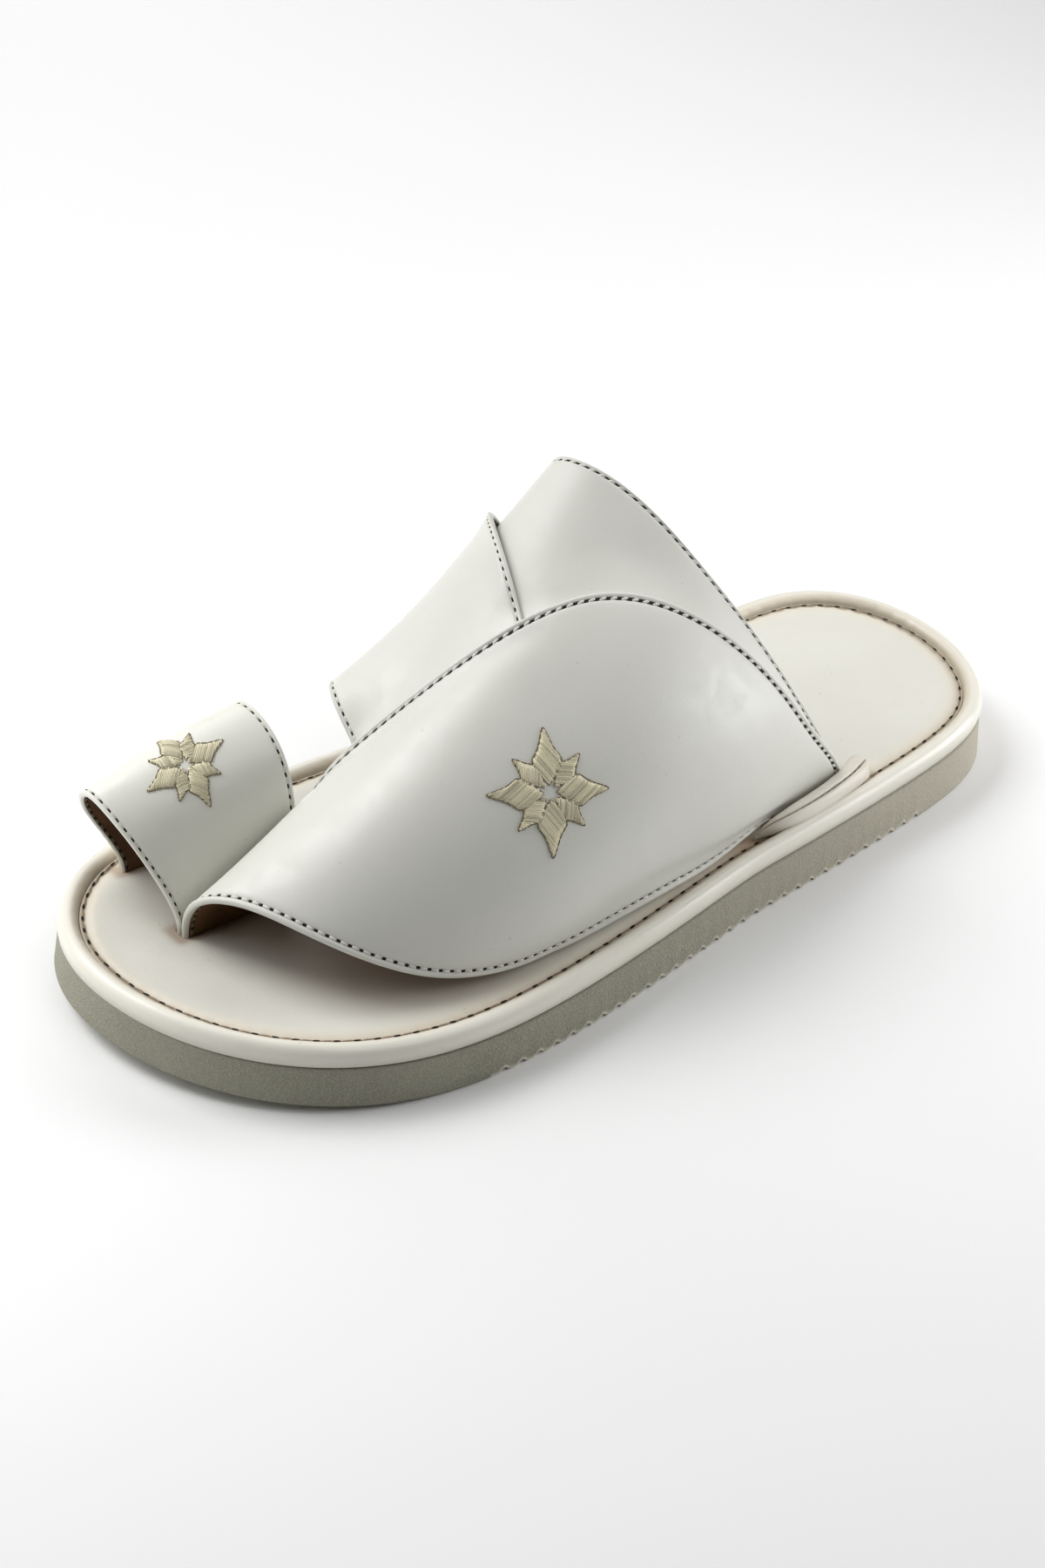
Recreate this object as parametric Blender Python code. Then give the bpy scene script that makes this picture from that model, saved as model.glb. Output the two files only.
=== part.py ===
"""Arabic toe-loop sandal, left shoe.

A rippled rubber outsole, a leather-wrapped midsole with a rolled rim, a dished leather insole,
two keepers at the strap slots, and the upper: an instep strap, a leaf-shaped vamp strap, a medial
strap and a big-toe loop, joined where they cross.

Lengths in the tables are millimetres: along runs from the heel back toward the toe, across toward
the outer side of the foot, up from the ground.
"""
import math

import bmesh
import bpy
import numpy as np

MM = 0.001
CENTRE_ALONG = 142.5   # middle of the outsole, which becomes the origin
CENTRE_ACROSS = -0.9
GAP = 0.3              # clearance between pieces that meet

# The line of stitches around the footbed; every edge of the sole is an offset of it.
OUTLINE = (
    # landmark,             along, across
    ("heel back",             6.3,    4.4),
    ("heel outer corner",    18.0,   34.6),
    ("heel outer side",      52.7,   44.6),
    ("waist outer",         106.5,   46.3),
    ("waist outer front",   134.5,   47.8),
    ("ball outer",          198.5,   51.6),
    ("little toes",         247.0,   39.6),
    ("toe tip outer",       273.5,    9.5),
    ("toe tip inner",       277.0,  -27.3),
    ("big toe",             255.5,  -50.0),
    ("ball inner",          216.5,  -52.7),
    ("waist inner front",   151.5,  -43.7),
    ("waist inner",          77.5,  -31.5),
    ("heel inner corner",    24.0,  -25.5),
)
SOLE_LENGTH = 285.0
SPRING_START = 205.0   # the toe curves up from here
SPRING_RISE = 4.7

# Heights at the heel and at the toe, before the toe spring.
OUTSOLE_TOP = (14.1, 11.2)
STITCH_LEVEL = (18.9, 15.5)

# Outsole
OUTSOLE_TOP_OFFSET = 6.2      # outside the line of stitches
OUTSOLE_FOOT_OFFSET = 7.3
OUTSOLE_WAIST_OFFSET = 7.4
OUTSOLE_WAIST_HEIGHT = 3.6
RIPPLE_FROM = 52.0
RIPPLE_TO = 217.0
RIPPLE_PITCH = 5.5
RIPPLE_LAND = 2.9
RIPPLE_SLOPE = 0.6
RIPPLE_DEPTH = 1.5
END_STATIONS = 11

# Midsole: the rolled rim as offset from the stitches and height over their level.
RIM = (
    # offset, rise
    (5.7, -4.45),
    (6.2, -3.6),
    (6.4, -1.9),
    (6.1, -0.3),
    (5.2, 0.9),
    (3.9, 1.5),
    (2.6, 1.35),
    (1.6, 0.6),
    (1.2, -0.3),
    (1.2, -1.7),
)
INSOLE_EDGE = 0.9
INSOLE_THICKNESS = 1.4
DISH = 1.0
SOLE_STATIONS = 44
DISH_COLUMNS = 6

# Slots that the strap ends go down through: the middle line of each.
SLOTS = (
    # name,     along, across, to along, to across, width
    ("lateral",  74.2,   39.1,    107.0,      41.3,   4.9),
    ("medial",   75.2,  -27.3,    118.8,     -33.6,   4.9),
    ("toe_post", 220.0, -16.5,    257.0,     -18.0,   4.9),
    ("ring",     215.0, -44.4,    254.0,     -47.4,   2.9),
)

# Straps: each row is a rib from the rear edge to the front edge, with the crown that bows it out.
STRAP_THICKNESS = 2.2
CROSSING_LAP = 0.4     # how far crossing straps sink into each other, as cemented and sewn
INSTEP_ROWS = (
    # rear edge             front edge            crown
    (77.5, 38.1, 18.0,      105.0, 40.3, 18.0,    0.0),
    (88.5, 34.7, 43.0,      120.0, 38.5, 44.0,    1.0),
    (100.5, 20.8, 69.0,     138.0, 28.5, 68.0,    2.0),
    (110.0, 3.0, 89.5,      157.0, 10.0, 79.5,    1.5),
    (118.0, -14.0, 102.0,   168.0, -9.0, 79.5,    0.5),
    (121.0, -28.0, 102.5,   163.0, -26.0, 77.0,   0.0),
    (114.0, -39.0, 87.5,    148.0, -37.5, 62.5,   0.5),
    (97.0, -41.5, 56.0,     132.0, -40.5, 42.0,   1.5),
    (82.0, -33.5, 28.0,     121.0, -37.0, 26.0,   0.5),
    (76.0, -26.5, 18.0,     118.0, -32.6, 18.0,   0.0),
)
VAMP_ROWS = (
    (75.0, 40.0, 18.0,      106.2, 42.2, 18.0,    0.0),
    (86.5, 39.3, 37.0,      126.0, 44.0, 20.0,    3.0),
    (99.5, 33.5, 57.0,      148.0, 45.2, 19.6,    7.0),
    (116.0, 21.8, 76.0,     173.0, 45.8, 18.9,   11.0),
    (136.0, 10.5, 86.8,     200.0, 45.4, 19.0,   12.0),
    (156.0, 3.5, 86.0,      225.0, 37.4, 24.3,   11.0),
    (177.0, -2.5, 75.5,     243.5, 20.5, 34.0,    8.0),
    (197.0, -10.0, 60.0,    252.0, 3.0, 36.8,     4.0),
    (215.0, -13.5, 45.0,    256.5, -9.5, 32.0,    1.0),
    (221.0, -15.2, 17.5,    256.0, -16.8, 17.5,   0.0),
)
MEDIAL_ROWS = (
    (161.5, 1.5, 82.0,      206.0, -6.0, 45.0,    0.5),
    (151.0, -19.0, 91.0,    199.5, -20.0, 49.5,  -1.0),
    (137.5, -37.5, 86.5,    195.0, -34.0, 55.0,  -2.0),
    (121.0, -46.0, 66.0,    178.0, -45.0, 44.0,  -1.0),
    (104.0, -46.0, 42.0,    150.0, -46.5, 31.5,   1.0),
    (88.0, -36.5, 26.5,     126.0, -41.0, 26.0,   0.5),
    (80.0, -29.0, 18.0,     118.0, -34.5, 18.0,   0.0),
)
RING_ROWS = (
    (221.0, -17.1, 17.5,    256.0, -18.7, 17.5,   0.0),
    (221.0, -16.4, 43.0,    260.0, -24.0, 34.0,   0.0),
    (220.5, -27.0, 60.0,    265.0, -33.5, 47.5,   1.0),
    (220.0, -38.0, 61.0,    266.0, -42.0, 50.5,   1.0),
    (218.0, -46.0, 49.0,    264.0, -48.0, 43.5,   0.0),
    (216.0, -44.5, 17.5,    253.0, -47.3, 17.5,   0.0),
)
PRESS_REACH = 12.0     # a strap further off than this isn't pressed against its cover
FRONT_DIP = 1.2        # the instep strap's covered front edge hangs clear of the straps over it,
FRONT_DIP_FROM = 125.0     # starting here along
FRONT_DIP_FULL = 145.0
LEG_PULL = 0.7         # how long a strap stays upright above its slot

# Lateral keeper: a lip along the outer edge of its slot, leaning on the vamp strap.
LIP_ROWS = (
    # along, inner across, outer across, height over the stitches
    (66.5,   41.6,   43.6,   2.4),
    (68.5,   40.5,   45.6,   3.6),
    (75.0,   41.9,   47.8,   4.6),
    (84.0,   43.3,   49.1,   5.0),
    (94.0,   44.1,   49.7,   5.0),
    (103.0,  44.6,   49.5,   4.8),
    (110.0,  44.8,   48.4,   4.2),
    (117.0,  45.5,   46.8,   3.0),
)
LIP_SEAT_FROM = 0.6    # outside the line of stitches the lip rises over the rim,
LIP_SEAT_RISE = 1.6    # up to this far

# Medial keeper: a D-shaped ear; its profile as offset from the stitches and rise over their level.
EAR_PROFILE = (
    # offset, rise
    (-11.5, 1.4),
    (-8.6, 2.3),
    (-5.6, 4.7),
    (-1.5, 5.0),
    (2.4, 4.2),
    (7.6, 8.2),
    (12.5, 14.5),
)
EAR_FROM = 66.0
EAR_TO = 131.0
EAR_THICKNESS = 1.8
EAR_SLOT = (74.4, 123.2, -5.5, 2.5)   # from along, to along, inner offset, outer offset


# ---------------------------------------------------------------- curves

def spline(knots, rows, start=None, end=None):
    """Cubic spline through rows at the knots; start and end set the end slopes, None leaves them free."""
    knots = np.asarray(knots, float)
    rows = np.asarray(rows, float)
    last = len(knots) - 1
    step = np.diff(knots)
    rise = np.diff(rows, axis=0) / step[:, None]
    matrix = np.zeros((last + 1, last + 1))
    right = np.zeros_like(rows)
    for i in range(1, last):
        matrix[i, i - 1:i + 2] = step[i - 1], 2 * (step[i - 1] + step[i]), step[i]
        right[i] = 6 * (rise[i] - rise[i - 1])
    matrix[0, 0] = matrix[last, last] = 1
    if start is not None:
        matrix[0, :2] = 2 * step[0], step[0]
        right[0] = 6 * (rise[0] - start)
    if end is not None:
        matrix[last, last - 1:] = step[-1], 2 * step[-1]
        right[last] = 6 * (end - rise[-1])
    bend = np.linalg.solve(matrix, right)

    def at(places):
        places = np.atleast_1d(np.asarray(places, float))
        i = np.clip(np.searchsorted(knots, places, side="right") - 1, 0, last - 1)
        a = (knots[i + 1] - places)[:, None]
        b = (places - knots[i])[:, None]
        h = step[i][:, None]
        cubic = (bend[i] * a ** 3 + bend[i + 1] * b ** 3) / (6 * h)
        return cubic + (rows[i] / h - bend[i] * h / 6) * a + (rows[i + 1] / h - bend[i + 1] * h / 6) * b

    return at


def outline(offset):
    """Closed line of the footbed stitches moved outward by offset, as many points."""
    corners = np.array([row[1:] for row in OUTLINE])
    count = len(corners)
    curve = spline(np.arange(3 * count + 1), np.vstack([corners] * 3 + [corners[:1]]))
    places = np.linspace(count, 2 * count, 720, endpoint=False)
    points = curve(places)
    ahead = curve(places + 0.01) - curve(places - 0.01)
    ahead /= np.linalg.norm(ahead, axis=1)[:, None]
    outward = np.stack([-ahead[:, 1], ahead[:, 0]], axis=1)
    return points + outward * offset


def sides(offset):
    """Ends of the offset outline and its two sides as functions of the place along."""
    points = outline(offset)
    heel = int(np.argmin(points[:, 0]))
    points = np.roll(points, -heel, axis=0)
    toe = int(np.argmax(points[:, 0]))
    outer = points[:toe + 1]
    inner = np.vstack([points[toe:], points[:1]])[::-1]
    return outer[0, 0], outer[-1, 0], outer, inner


def width_at(offset, fractions):
    """For each fraction of the length: place along, outer side and inner side of the outline."""
    heel, toe, outer, inner = sides(offset)
    along = heel + (toe - heel) * np.asarray(fractions)
    out = np.interp(along, outer[:, 0], outer[:, 1])
    inn = np.interp(along, inner[:, 0], inner[:, 1])
    out[0] = inn[0] = outer[0, 1]
    out[-1] = inn[-1] = outer[-1, 1]
    return along, out, inn


def spring(along):
    """Rise of the toe spring."""
    share = np.clip((np.asarray(along, float) - SPRING_START) / (SOLE_LENGTH - SPRING_START), 0, None)
    return SPRING_RISE * share ** 2


def level(heights, along):
    """Height between its heel and toe values, with the toe spring."""
    share = np.asarray(along, float) / SOLE_LENGTH
    return heights[0] + (heights[1] - heights[0]) * share + spring(along)


def rounded_fractions(count):
    """Fractions of the length that crowd toward both ends, so that round ends stay round."""
    return (1 - np.cos(np.linspace(0, math.pi, count + 1))) / 2


# ---------------------------------------------------------------- meshes

def new_object(name, points, faces, material):
    """Mesh object from millimetre points, with its faces turned outward."""
    mesh = bpy.data.meshes.new(name)
    shift = np.array([CENTRE_ALONG, CENTRE_ACROSS, 0.0])
    mesh.from_pydata(((np.asarray(points) - shift) * MM).tolist(), [], faces)
    work = bmesh.new()
    work.from_mesh(mesh)
    bmesh.ops.recalc_face_normals(work, faces=work.faces)
    work.to_mesh(mesh)
    work.free()
    mesh.polygons.foreach_set("use_smooth", [True] * len(mesh.polygons))
    item = bpy.data.objects.new(name, mesh)
    bpy.context.scene.collection.objects.link(item)
    if material:
        mesh.materials.append(material)
    return item


def new_material(name, colour, roughness):
    material = bpy.data.materials.new(name)
    material.use_nodes = True
    surface = material.node_tree.nodes["Principled BSDF"]
    surface.inputs["Base Color"].default_value = (*colour, 1.0)
    surface.inputs["Roughness"].default_value = roughness
    surface.inputs["Metallic"].default_value = 0.0
    material.diffuse_color = (*colour, 1.0)
    return material


def hide_tool(item):
    """A cutter or a part of a union is only a tool."""
    item.hide_render = True
    item.display_type = "WIRE"


def combine(item, tool, operation):
    modifier = item.modifiers.new(f"{operation.lower()}_{tool.name}", "BOOLEAN")
    modifier.operation = operation
    modifier.solver = "EXACT"
    modifier.object = tool
    hide_tool(tool)


def rounds(rings):
    """Faces between closed rings of equal count, ring after ring."""
    faces = []
    count = len(rings[0])
    for r in range(len(rings) - 1):
        for i in range(count):
            j = (i + 1) % count
            faces.append((rings[r][i], rings[r][j], rings[r + 1][j], rings[r + 1][i]))
    return faces


class SoleMesh:
    """Collects points, rings around the outline and dished floors across it."""

    def __init__(self, fractions):
        self.fractions = fractions
        self.points = []
        self.faces = []

    def ring(self, offset, height):
        """Ring of the outline: heel tip, outer side, toe tip, inner side; returns its point numbers."""
        along, out, inn = width_at(offset, self.fractions)
        first = len(self.points)
        last = len(along) - 1
        for k in range(last + 1):
            self.points.append((along[k], out[k], height(along[k], k)))
        for k in range(last - 1, 0, -1):
            self.points.append((along[k], inn[k], height(along[k], k)))
        return list(range(first, len(self.points)))

    def floor(self, ring, columns, sink):
        """Surface across a ring, sunk by a round dish of the given depth."""
        last = len(self.fractions) - 1
        rows = []
        for k in range(1, last):
            start, end = ring[k], ring[-k]
            a, b = np.array(self.points[start]), np.array(self.points[end])
            row = [start]
            depth = sink * min(1.0, abs(a[1] - b[1]) / 40.0)
            for c in range(1, columns):
                share = c / columns
                point = a + (b - a) * share
                point[2] -= depth * (1 - (2 * share - 1) ** 2) ** 0.7
                row.append(len(self.points))
                self.points.append(tuple(point))
            rows.append(row + [end])
        for c in range(columns):
            self.faces.append((ring[0], rows[0][c], rows[0][c + 1]))
            self.faces.append((ring[last], rows[-1][c + 1], rows[-1][c]))
        for one, two in zip(rows, rows[1:]):
            for c in range(columns):
                self.faces.append((one[c], two[c], two[c + 1], one[c + 1]))


# ---------------------------------------------------------------- sole

def ripple_stations():
    """Fractions of the length of the outsole, and how far each lies up in a groove."""
    heel, toe, _, _ = sides(OUTSOLE_FOOT_OFFSET)
    length = toe - heel
    places = []
    lifts = []
    heel_turn = math.acos(1 - 2 * (RIPPLE_FROM - heel) / length)
    for turn in np.linspace(0, heel_turn, END_STATIONS, endpoint=False):
        places.append(heel + length * (1 - math.cos(turn)) / 2)
        lifts.append(0.0)
    groove = RIPPLE_PITCH - RIPPLE_LAND - 2 * RIPPLE_SLOPE
    for tooth in range(int((RIPPLE_TO - RIPPLE_FROM) / RIPPLE_PITCH)):
        start = RIPPLE_FROM + tooth * RIPPLE_PITCH
        places += [start, start + RIPPLE_SLOPE, start + RIPPLE_SLOPE + groove, start + 2 * RIPPLE_SLOPE + groove]
        lifts += [0.0, RIPPLE_DEPTH, RIPPLE_DEPTH, 0.0]
    toe_turn = math.acos(1 - 2 * (toe - RIPPLE_TO) / length)
    for turn in np.linspace(toe_turn, 0, END_STATIONS):
        places.append(toe - length * (1 - math.cos(turn)) / 2)
        lifts.append(0.0)
    return (np.array(places) - heel) / length, lifts


def make_outsole(material):
    fractions, lifts = ripple_stations()
    shape = SoleMesh(fractions)
    top = shape.ring(OUTSOLE_TOP_OFFSET, lambda x, k: level(OUTSOLE_TOP, x))
    waist = shape.ring(OUTSOLE_WAIST_OFFSET, lambda x, k: OUTSOLE_WAIST_HEIGHT + spring(x))
    foot = shape.ring(OUTSOLE_FOOT_OFFSET, lambda x, k: lifts[k] + spring(x))
    shape.faces += rounds([top, waist, foot])
    shape.floor(top, 1, 0.0)
    shape.floor(foot, 1, 0.0)
    return new_object("outsole", shape.points, shape.faces, material)


def make_midsole(material):
    shape = SoleMesh(rounded_fractions(SOLE_STATIONS))
    bottom = shape.ring(RIM[0][0], lambda x, k: level(OUTSOLE_TOP, x) + GAP)
    rings = [bottom]
    for offset, rise in RIM[1:]:
        rings.append(shape.ring(offset, lambda x, k, rise=rise: level(STITCH_LEVEL, x) + rise))
    shape.faces += rounds(rings)
    shape.floor(bottom, 1, 0.0)
    shape.floor(rings[-1], DISH_COLUMNS, DISH)
    return new_object("midsole", shape.points, shape.faces, material)


def make_insole(material):
    shape = SoleMesh(rounded_fractions(SOLE_STATIONS))
    top = shape.ring(INSOLE_EDGE, lambda x, k: level(STITCH_LEVEL, x))
    bottom = shape.ring(INSOLE_EDGE, lambda x, k: level(STITCH_LEVEL, x) - INSOLE_THICKNESS)
    shape.faces += rounds([top, bottom])
    shape.floor(top, DISH_COLUMNS, DISH)
    shape.floor(bottom, DISH_COLUMNS, DISH)
    return new_object("insole", shape.points, shape.faces, material)


def prism(name, plan, low, high):
    """Upright block over a plan of corner points."""
    count = len(plan)
    points = [(x, y, low) for x, y in plan] + [(x, y, high) for x, y in plan]
    faces = [tuple(range(count)), tuple(range(count, 2 * count))]
    faces += [(i, (i + 1) % count, count + (i + 1) % count, count + i) for i in range(count)]
    return new_object(name, points, faces, None)


def slot_cutters():
    """Upright blocks where the strap ends go down through insole and midsole."""
    cutters = []
    for name, x0, y0, x1, y1, width in SLOTS:
        ahead = np.array([x1 - x0, y1 - y0])
        ahead /= np.linalg.norm(ahead)
        side = np.array([-ahead[1], ahead[0]]) * width / 2
        one, two = np.array([x0, y0]), np.array([x1, y1])
        plan = [one - side, two - side, two + side, one + side]
        cutters.append(prism(f"slot_{name}", plan, 5.0, 30.0))
    return cutters


# ---------------------------------------------------------------- keepers

def make_lateral_keeper(material):
    """Lip of leather along the outer edge of the lateral slot."""
    rows = np.array(LIP_ROWS)
    curve = spline(rows[:, 0], rows[:, 1:])
    stations = np.linspace(rows[0, 0], rows[-1, 0], 16)
    points = []
    rings = []
    for along, (inner, outer, rise) in zip(stations, curve(stations)):
        base = level(STITCH_LEVEL, along)
        stitches = width_at(0.0, [0.0, (along - sides(0.0)[0]) / (sides(0.0)[1] - sides(0.0)[0]), 1.0])[1][1]
        middle = (inner + outer) / 2
        seat = [
            GAP + min(max(across - stitches - LIP_SEAT_FROM, 0.0), LIP_SEAT_RISE)
            for across in (inner, middle, outer)
        ]
        section = (
            (inner, seat[0]),
            (inner - 0.1, rise * 0.8),
            (inner + 0.5, rise),
            (inner + (outer - inner) * 0.45, rise * 0.97),
            (outer - 0.3, rise * 0.62),
            (outer, seat[2] + 0.5),
            (outer - 0.2, seat[2]),
            (middle, seat[1] + 0.1),
        )
        rings.append(list(range(len(points), len(points) + len(section))))
        points += [(along, across, base + up) for across, up in section]
    faces = rounds(rings)
    faces += [tuple(rings[0]), tuple(rings[-1])]
    return new_object("keeper_lateral", points, faces, material)


def sheet_solid(name, middle, thickness, material):
    """Closed solid of the given thickness around a grid of middle points."""
    normal = grid_normals(middle)
    rows, columns = middle.shape[:2]
    outer = (middle + normal * thickness / 2).reshape(-1, 3)
    inner = (middle - normal * thickness / 2).reshape(-1, 3)
    under = rows * columns
    faces = []
    for i in range(rows - 1):
        for j in range(columns - 1):
            a = i * columns + j
            quad = (a, a + 1, a + columns + 1, a + columns)
            faces.append(quad)
            faces.append(tuple(n + under for n in reversed(quad)))
    edge = [j for j in range(columns)]
    edge += [i * columns + columns - 1 for i in range(1, rows)]
    edge += [(rows - 1) * columns + j for j in range(columns - 2, -1, -1)]
    edge += [i * columns for i in range(rows - 2, 0, -1)]
    for a, b in zip(edge, edge[1:] + edge[:1]):
        faces.append((a, b, b + under, a + under))
    return new_object(name, np.vstack([outer, inner]), faces, material)


def grid_normals(middle):
    """Unit normals of a grid, pointing out of the foot when columns run rear to front."""
    down = np.gradient(middle, axis=0)
    across = np.gradient(middle, axis=1)
    normal = np.cross(down, across)
    return normal / np.linalg.norm(normal, axis=2)[:, :, None]


def make_medial_keeper(material):
    """D-shaped ear with a slot that the instep and medial straps come up through."""
    profile = np.array(EAR_PROFILE)
    reach = np.r_[0, np.cumsum(np.linalg.norm(np.diff(profile, axis=0), axis=1))]
    curve = spline(reach / reach[-1], profile)
    turns = np.linspace(0, math.pi, 17)
    middle = np.zeros((13, len(turns), 3))
    for i, turn in enumerate(turns):
        along = EAR_FROM + (EAR_TO - EAR_FROM) * (1 - math.cos(turn)) / 2
        full = 0.12 + 0.88 * math.sin(turn) ** 0.75
        heel, toe, _, inner = sides(0.0)
        stitches = np.interp(along, inner[:, 0], inner[:, 1])
        for j, (offset, rise) in enumerate(curve(np.linspace(0, full, 13))):
            middle[j, i] = (along, stitches - offset, level(STITCH_LEVEL, along) + rise)
    ear = sheet_solid("keeper_medial", middle, EAR_THICKNESS, material)
    start, end, near, far = EAR_SLOT
    plan = []
    for along, offset in ((start, near), (end, near), (end, far), (start, far)):
        stitches = np.interp(along, inner[:, 0], inner[:, 1])
        plan.append((along, stitches - offset))
    combine(ear, prism("slot_ear", plan, 15.0, 40.0), "DIFFERENCE")
    return ear


# ---------------------------------------------------------------- straps

def strap_surface(rows, count, columns, first_leg=True, last_leg=True):
    """Middle surface of a strap through its ribs, upright where it leaves a slot."""
    table = np.array(rows)
    rear, front, crown = table[:, :3], table[:, 3:6], table[:, 6:7]
    centre = (rear + front) / 2
    knots = np.r_[0, np.cumsum(np.linalg.norm(np.diff(centre, axis=0), axis=1))]
    knots /= knots[-1]
    up = np.array([0.0, 0.0, 1.0])

    def edge(points):
        first = np.linalg.norm(points[1] - points[0]) / (knots[1] - knots[0]) * LEG_PULL
        last = np.linalg.norm(points[-1] - points[-2]) / (knots[-1] - knots[-2]) * LEG_PULL
        return spline(knots, points, up * first if first_leg else None, -up * last if last_leg else None)

    rear_edge, front_edge, bow = edge(rear), edge(front), spline(knots, crown, np.zeros(1), np.zeros(1))
    places = np.linspace(0, 1, count)
    shares = np.linspace(0, 1, columns)
    back, fore = rear_edge(places), front_edge(places)
    near, far = np.clip(places - 0.002, 0, 1), np.clip(places + 0.002, 0, 1)
    ahead = rear_edge(far) + front_edge(far) - rear_edge(near) - front_edge(near)
    outward = np.cross(ahead, fore - back)
    outward /= np.linalg.norm(outward, axis=1)[:, None]
    chord = back[:, None] * (1 - shares)[None, :, None] + fore[:, None] * shares[None, :, None]
    lift = (4 * shares * (1 - shares))[None, :, None] * bow(places)[:, :, None]
    return chord + outward[:, None] * lift


def press_under(middle, cover, depth, fade, only_above=False):
    """Move a strap to lie the given depth under a covering strap, fading out beyond its edge."""
    cover_normals = grid_normals(cover).reshape(-1, 3)
    cover = cover.reshape(-1, 3)
    moved = middle.copy()
    for index in np.ndindex(middle.shape[:2]):
        point = middle[index]
        nearest = int(np.argmin(((cover - point) ** 2).sum(axis=1)))
        normal = cover_normals[nearest]
        height = float(np.dot(point - cover[nearest], normal))
        wanted = -depth[index]
        if abs(height - wanted) > PRESS_REACH or only_above and height <= wanted:
            continue
        beyond = np.linalg.norm(point - cover[nearest] - height * normal)
        share = min(max(1 - beyond / fade, 0.0), 1.0)
        moved[index] += normal * (wanted - height) * share * share * (3 - 2 * share)
    return moved


def with_legs(middle, first_leg=True, last_leg=True):
    """Carry the strap ends straight down through their slots to just above the outsole."""
    rows = [middle]
    if first_leg:
        foot = middle[0].copy()
        foot[:, 2] = level(OUTSOLE_TOP, foot[:, 0]) + GAP
        rows.insert(0, foot[None])
    if last_leg:
        foot = middle[-1].copy()
        foot[:, 2] = level(OUTSOLE_TOP, foot[:, 0]) + GAP
        rows.append(foot[None])
    return np.concatenate(rows)


def strap_surfaces():
    """Middle surfaces of the four straps, pressed together where they cross."""
    lap = STRAP_THICKNESS - CROSSING_LAP
    cover = strap_surface(VAMP_ROWS, 161, 49)
    vamp = strap_surface(VAMP_ROWS, 40, 12)
    medial = strap_surface(MEDIAL_ROWS, 24, 8, first_leg=False)
    medial = press_under(medial, cover, np.full(medial.shape[:2], lap), 16.0)
    medial_cover = strap_surface(MEDIAL_ROWS, 97, 33, first_leg=False)
    medial_cover = press_under(medial_cover, cover, np.full(medial_cover.shape[:2], lap), 16.0)
    instep = strap_surface(INSTEP_ROWS, 34, 8)
    depth = np.full(instep.shape[:2], lap)
    dip = (instep[:, -1, 0] - FRONT_DIP_FROM) / (FRONT_DIP_FULL - FRONT_DIP_FROM)
    depth[:, -1] += FRONT_DIP * np.clip(dip, 0.0, 1.0)
    instep = press_under(instep, cover, depth, 22.0)
    instep = press_under(instep, medial_cover, depth, 10.0, only_above=True)
    ring = strap_surface(RING_ROWS, 30, 8)
    return vamp, instep, medial, ring


def make_upper(material):
    """Vamp, instep strap, medial strap and toe loop as one joined piece."""
    vamp, instep, medial, ring = strap_surfaces()
    upper = sheet_solid("upper", with_legs(vamp), STRAP_THICKNESS, material)
    parts = (
        ("strap_instep", with_legs(instep)),
        ("strap_medial", with_legs(medial, first_leg=False)),
        ("strap_ring", with_legs(ring)),
    )
    for name, middle in parts:
        combine(upper, sheet_solid(name, middle, STRAP_THICKNESS, None), "UNION")
    return upper


# ---------------------------------------------------------------- build

def main():
    for item in list(bpy.data.objects):
        bpy.data.objects.remove(item, do_unlink=True)
    rubber = new_material("grey_beige_rubber", (0.33, 0.31, 0.26), 0.85)
    wrap = new_material("cream_rim_leather", (0.70, 0.66, 0.58), 0.35)
    footbed = new_material("cream_footbed_leather", (0.68, 0.63, 0.56), 0.45)
    white = new_material("white_strap_leather", (0.76, 0.76, 0.72), 0.38)
    ear = new_material("white_keeper_leather", (0.72, 0.69, 0.62), 0.42)
    lip = new_material("cream_keeper_leather", (0.70, 0.66, 0.58), 0.42)
    make_outsole(rubber)
    midsole = make_midsole(wrap)
    insole = make_insole(footbed)
    for cutter in slot_cutters():
        combine(midsole, cutter, "DIFFERENCE")
        combine(insole, cutter, "DIFFERENCE")
    make_lateral_keeper(lip)
    make_medial_keeper(ear)
    make_upper(white)


main()
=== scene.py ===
"""Looks of the left toe-loop sandal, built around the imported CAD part.

Lengths are millimetres in the shoe's own table frame, as in the part's source: along runs from the
heel back toward the toe, across toward the outer side, up from the ground.
"""
import math

import bpy
import numpy as np
from mathutils import Matrix, Vector


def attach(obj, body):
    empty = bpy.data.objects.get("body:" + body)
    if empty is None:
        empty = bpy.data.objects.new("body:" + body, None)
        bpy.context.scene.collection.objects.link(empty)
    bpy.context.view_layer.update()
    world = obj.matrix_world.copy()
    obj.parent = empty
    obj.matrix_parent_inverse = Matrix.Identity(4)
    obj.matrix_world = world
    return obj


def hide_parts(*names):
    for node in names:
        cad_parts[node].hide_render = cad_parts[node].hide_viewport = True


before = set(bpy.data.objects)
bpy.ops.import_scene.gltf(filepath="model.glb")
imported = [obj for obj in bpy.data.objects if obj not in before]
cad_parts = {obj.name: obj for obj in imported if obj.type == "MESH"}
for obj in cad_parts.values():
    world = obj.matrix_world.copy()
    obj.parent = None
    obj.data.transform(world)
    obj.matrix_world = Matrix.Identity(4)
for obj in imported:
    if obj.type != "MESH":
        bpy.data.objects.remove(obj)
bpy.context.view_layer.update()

MM = 0.001
CENTRE = np.array([142.5, -0.9, 0.0])     # of the table frame, put over the world's origin

# ---------------------------------------------------------------- sizes shared with the CAD part

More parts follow.
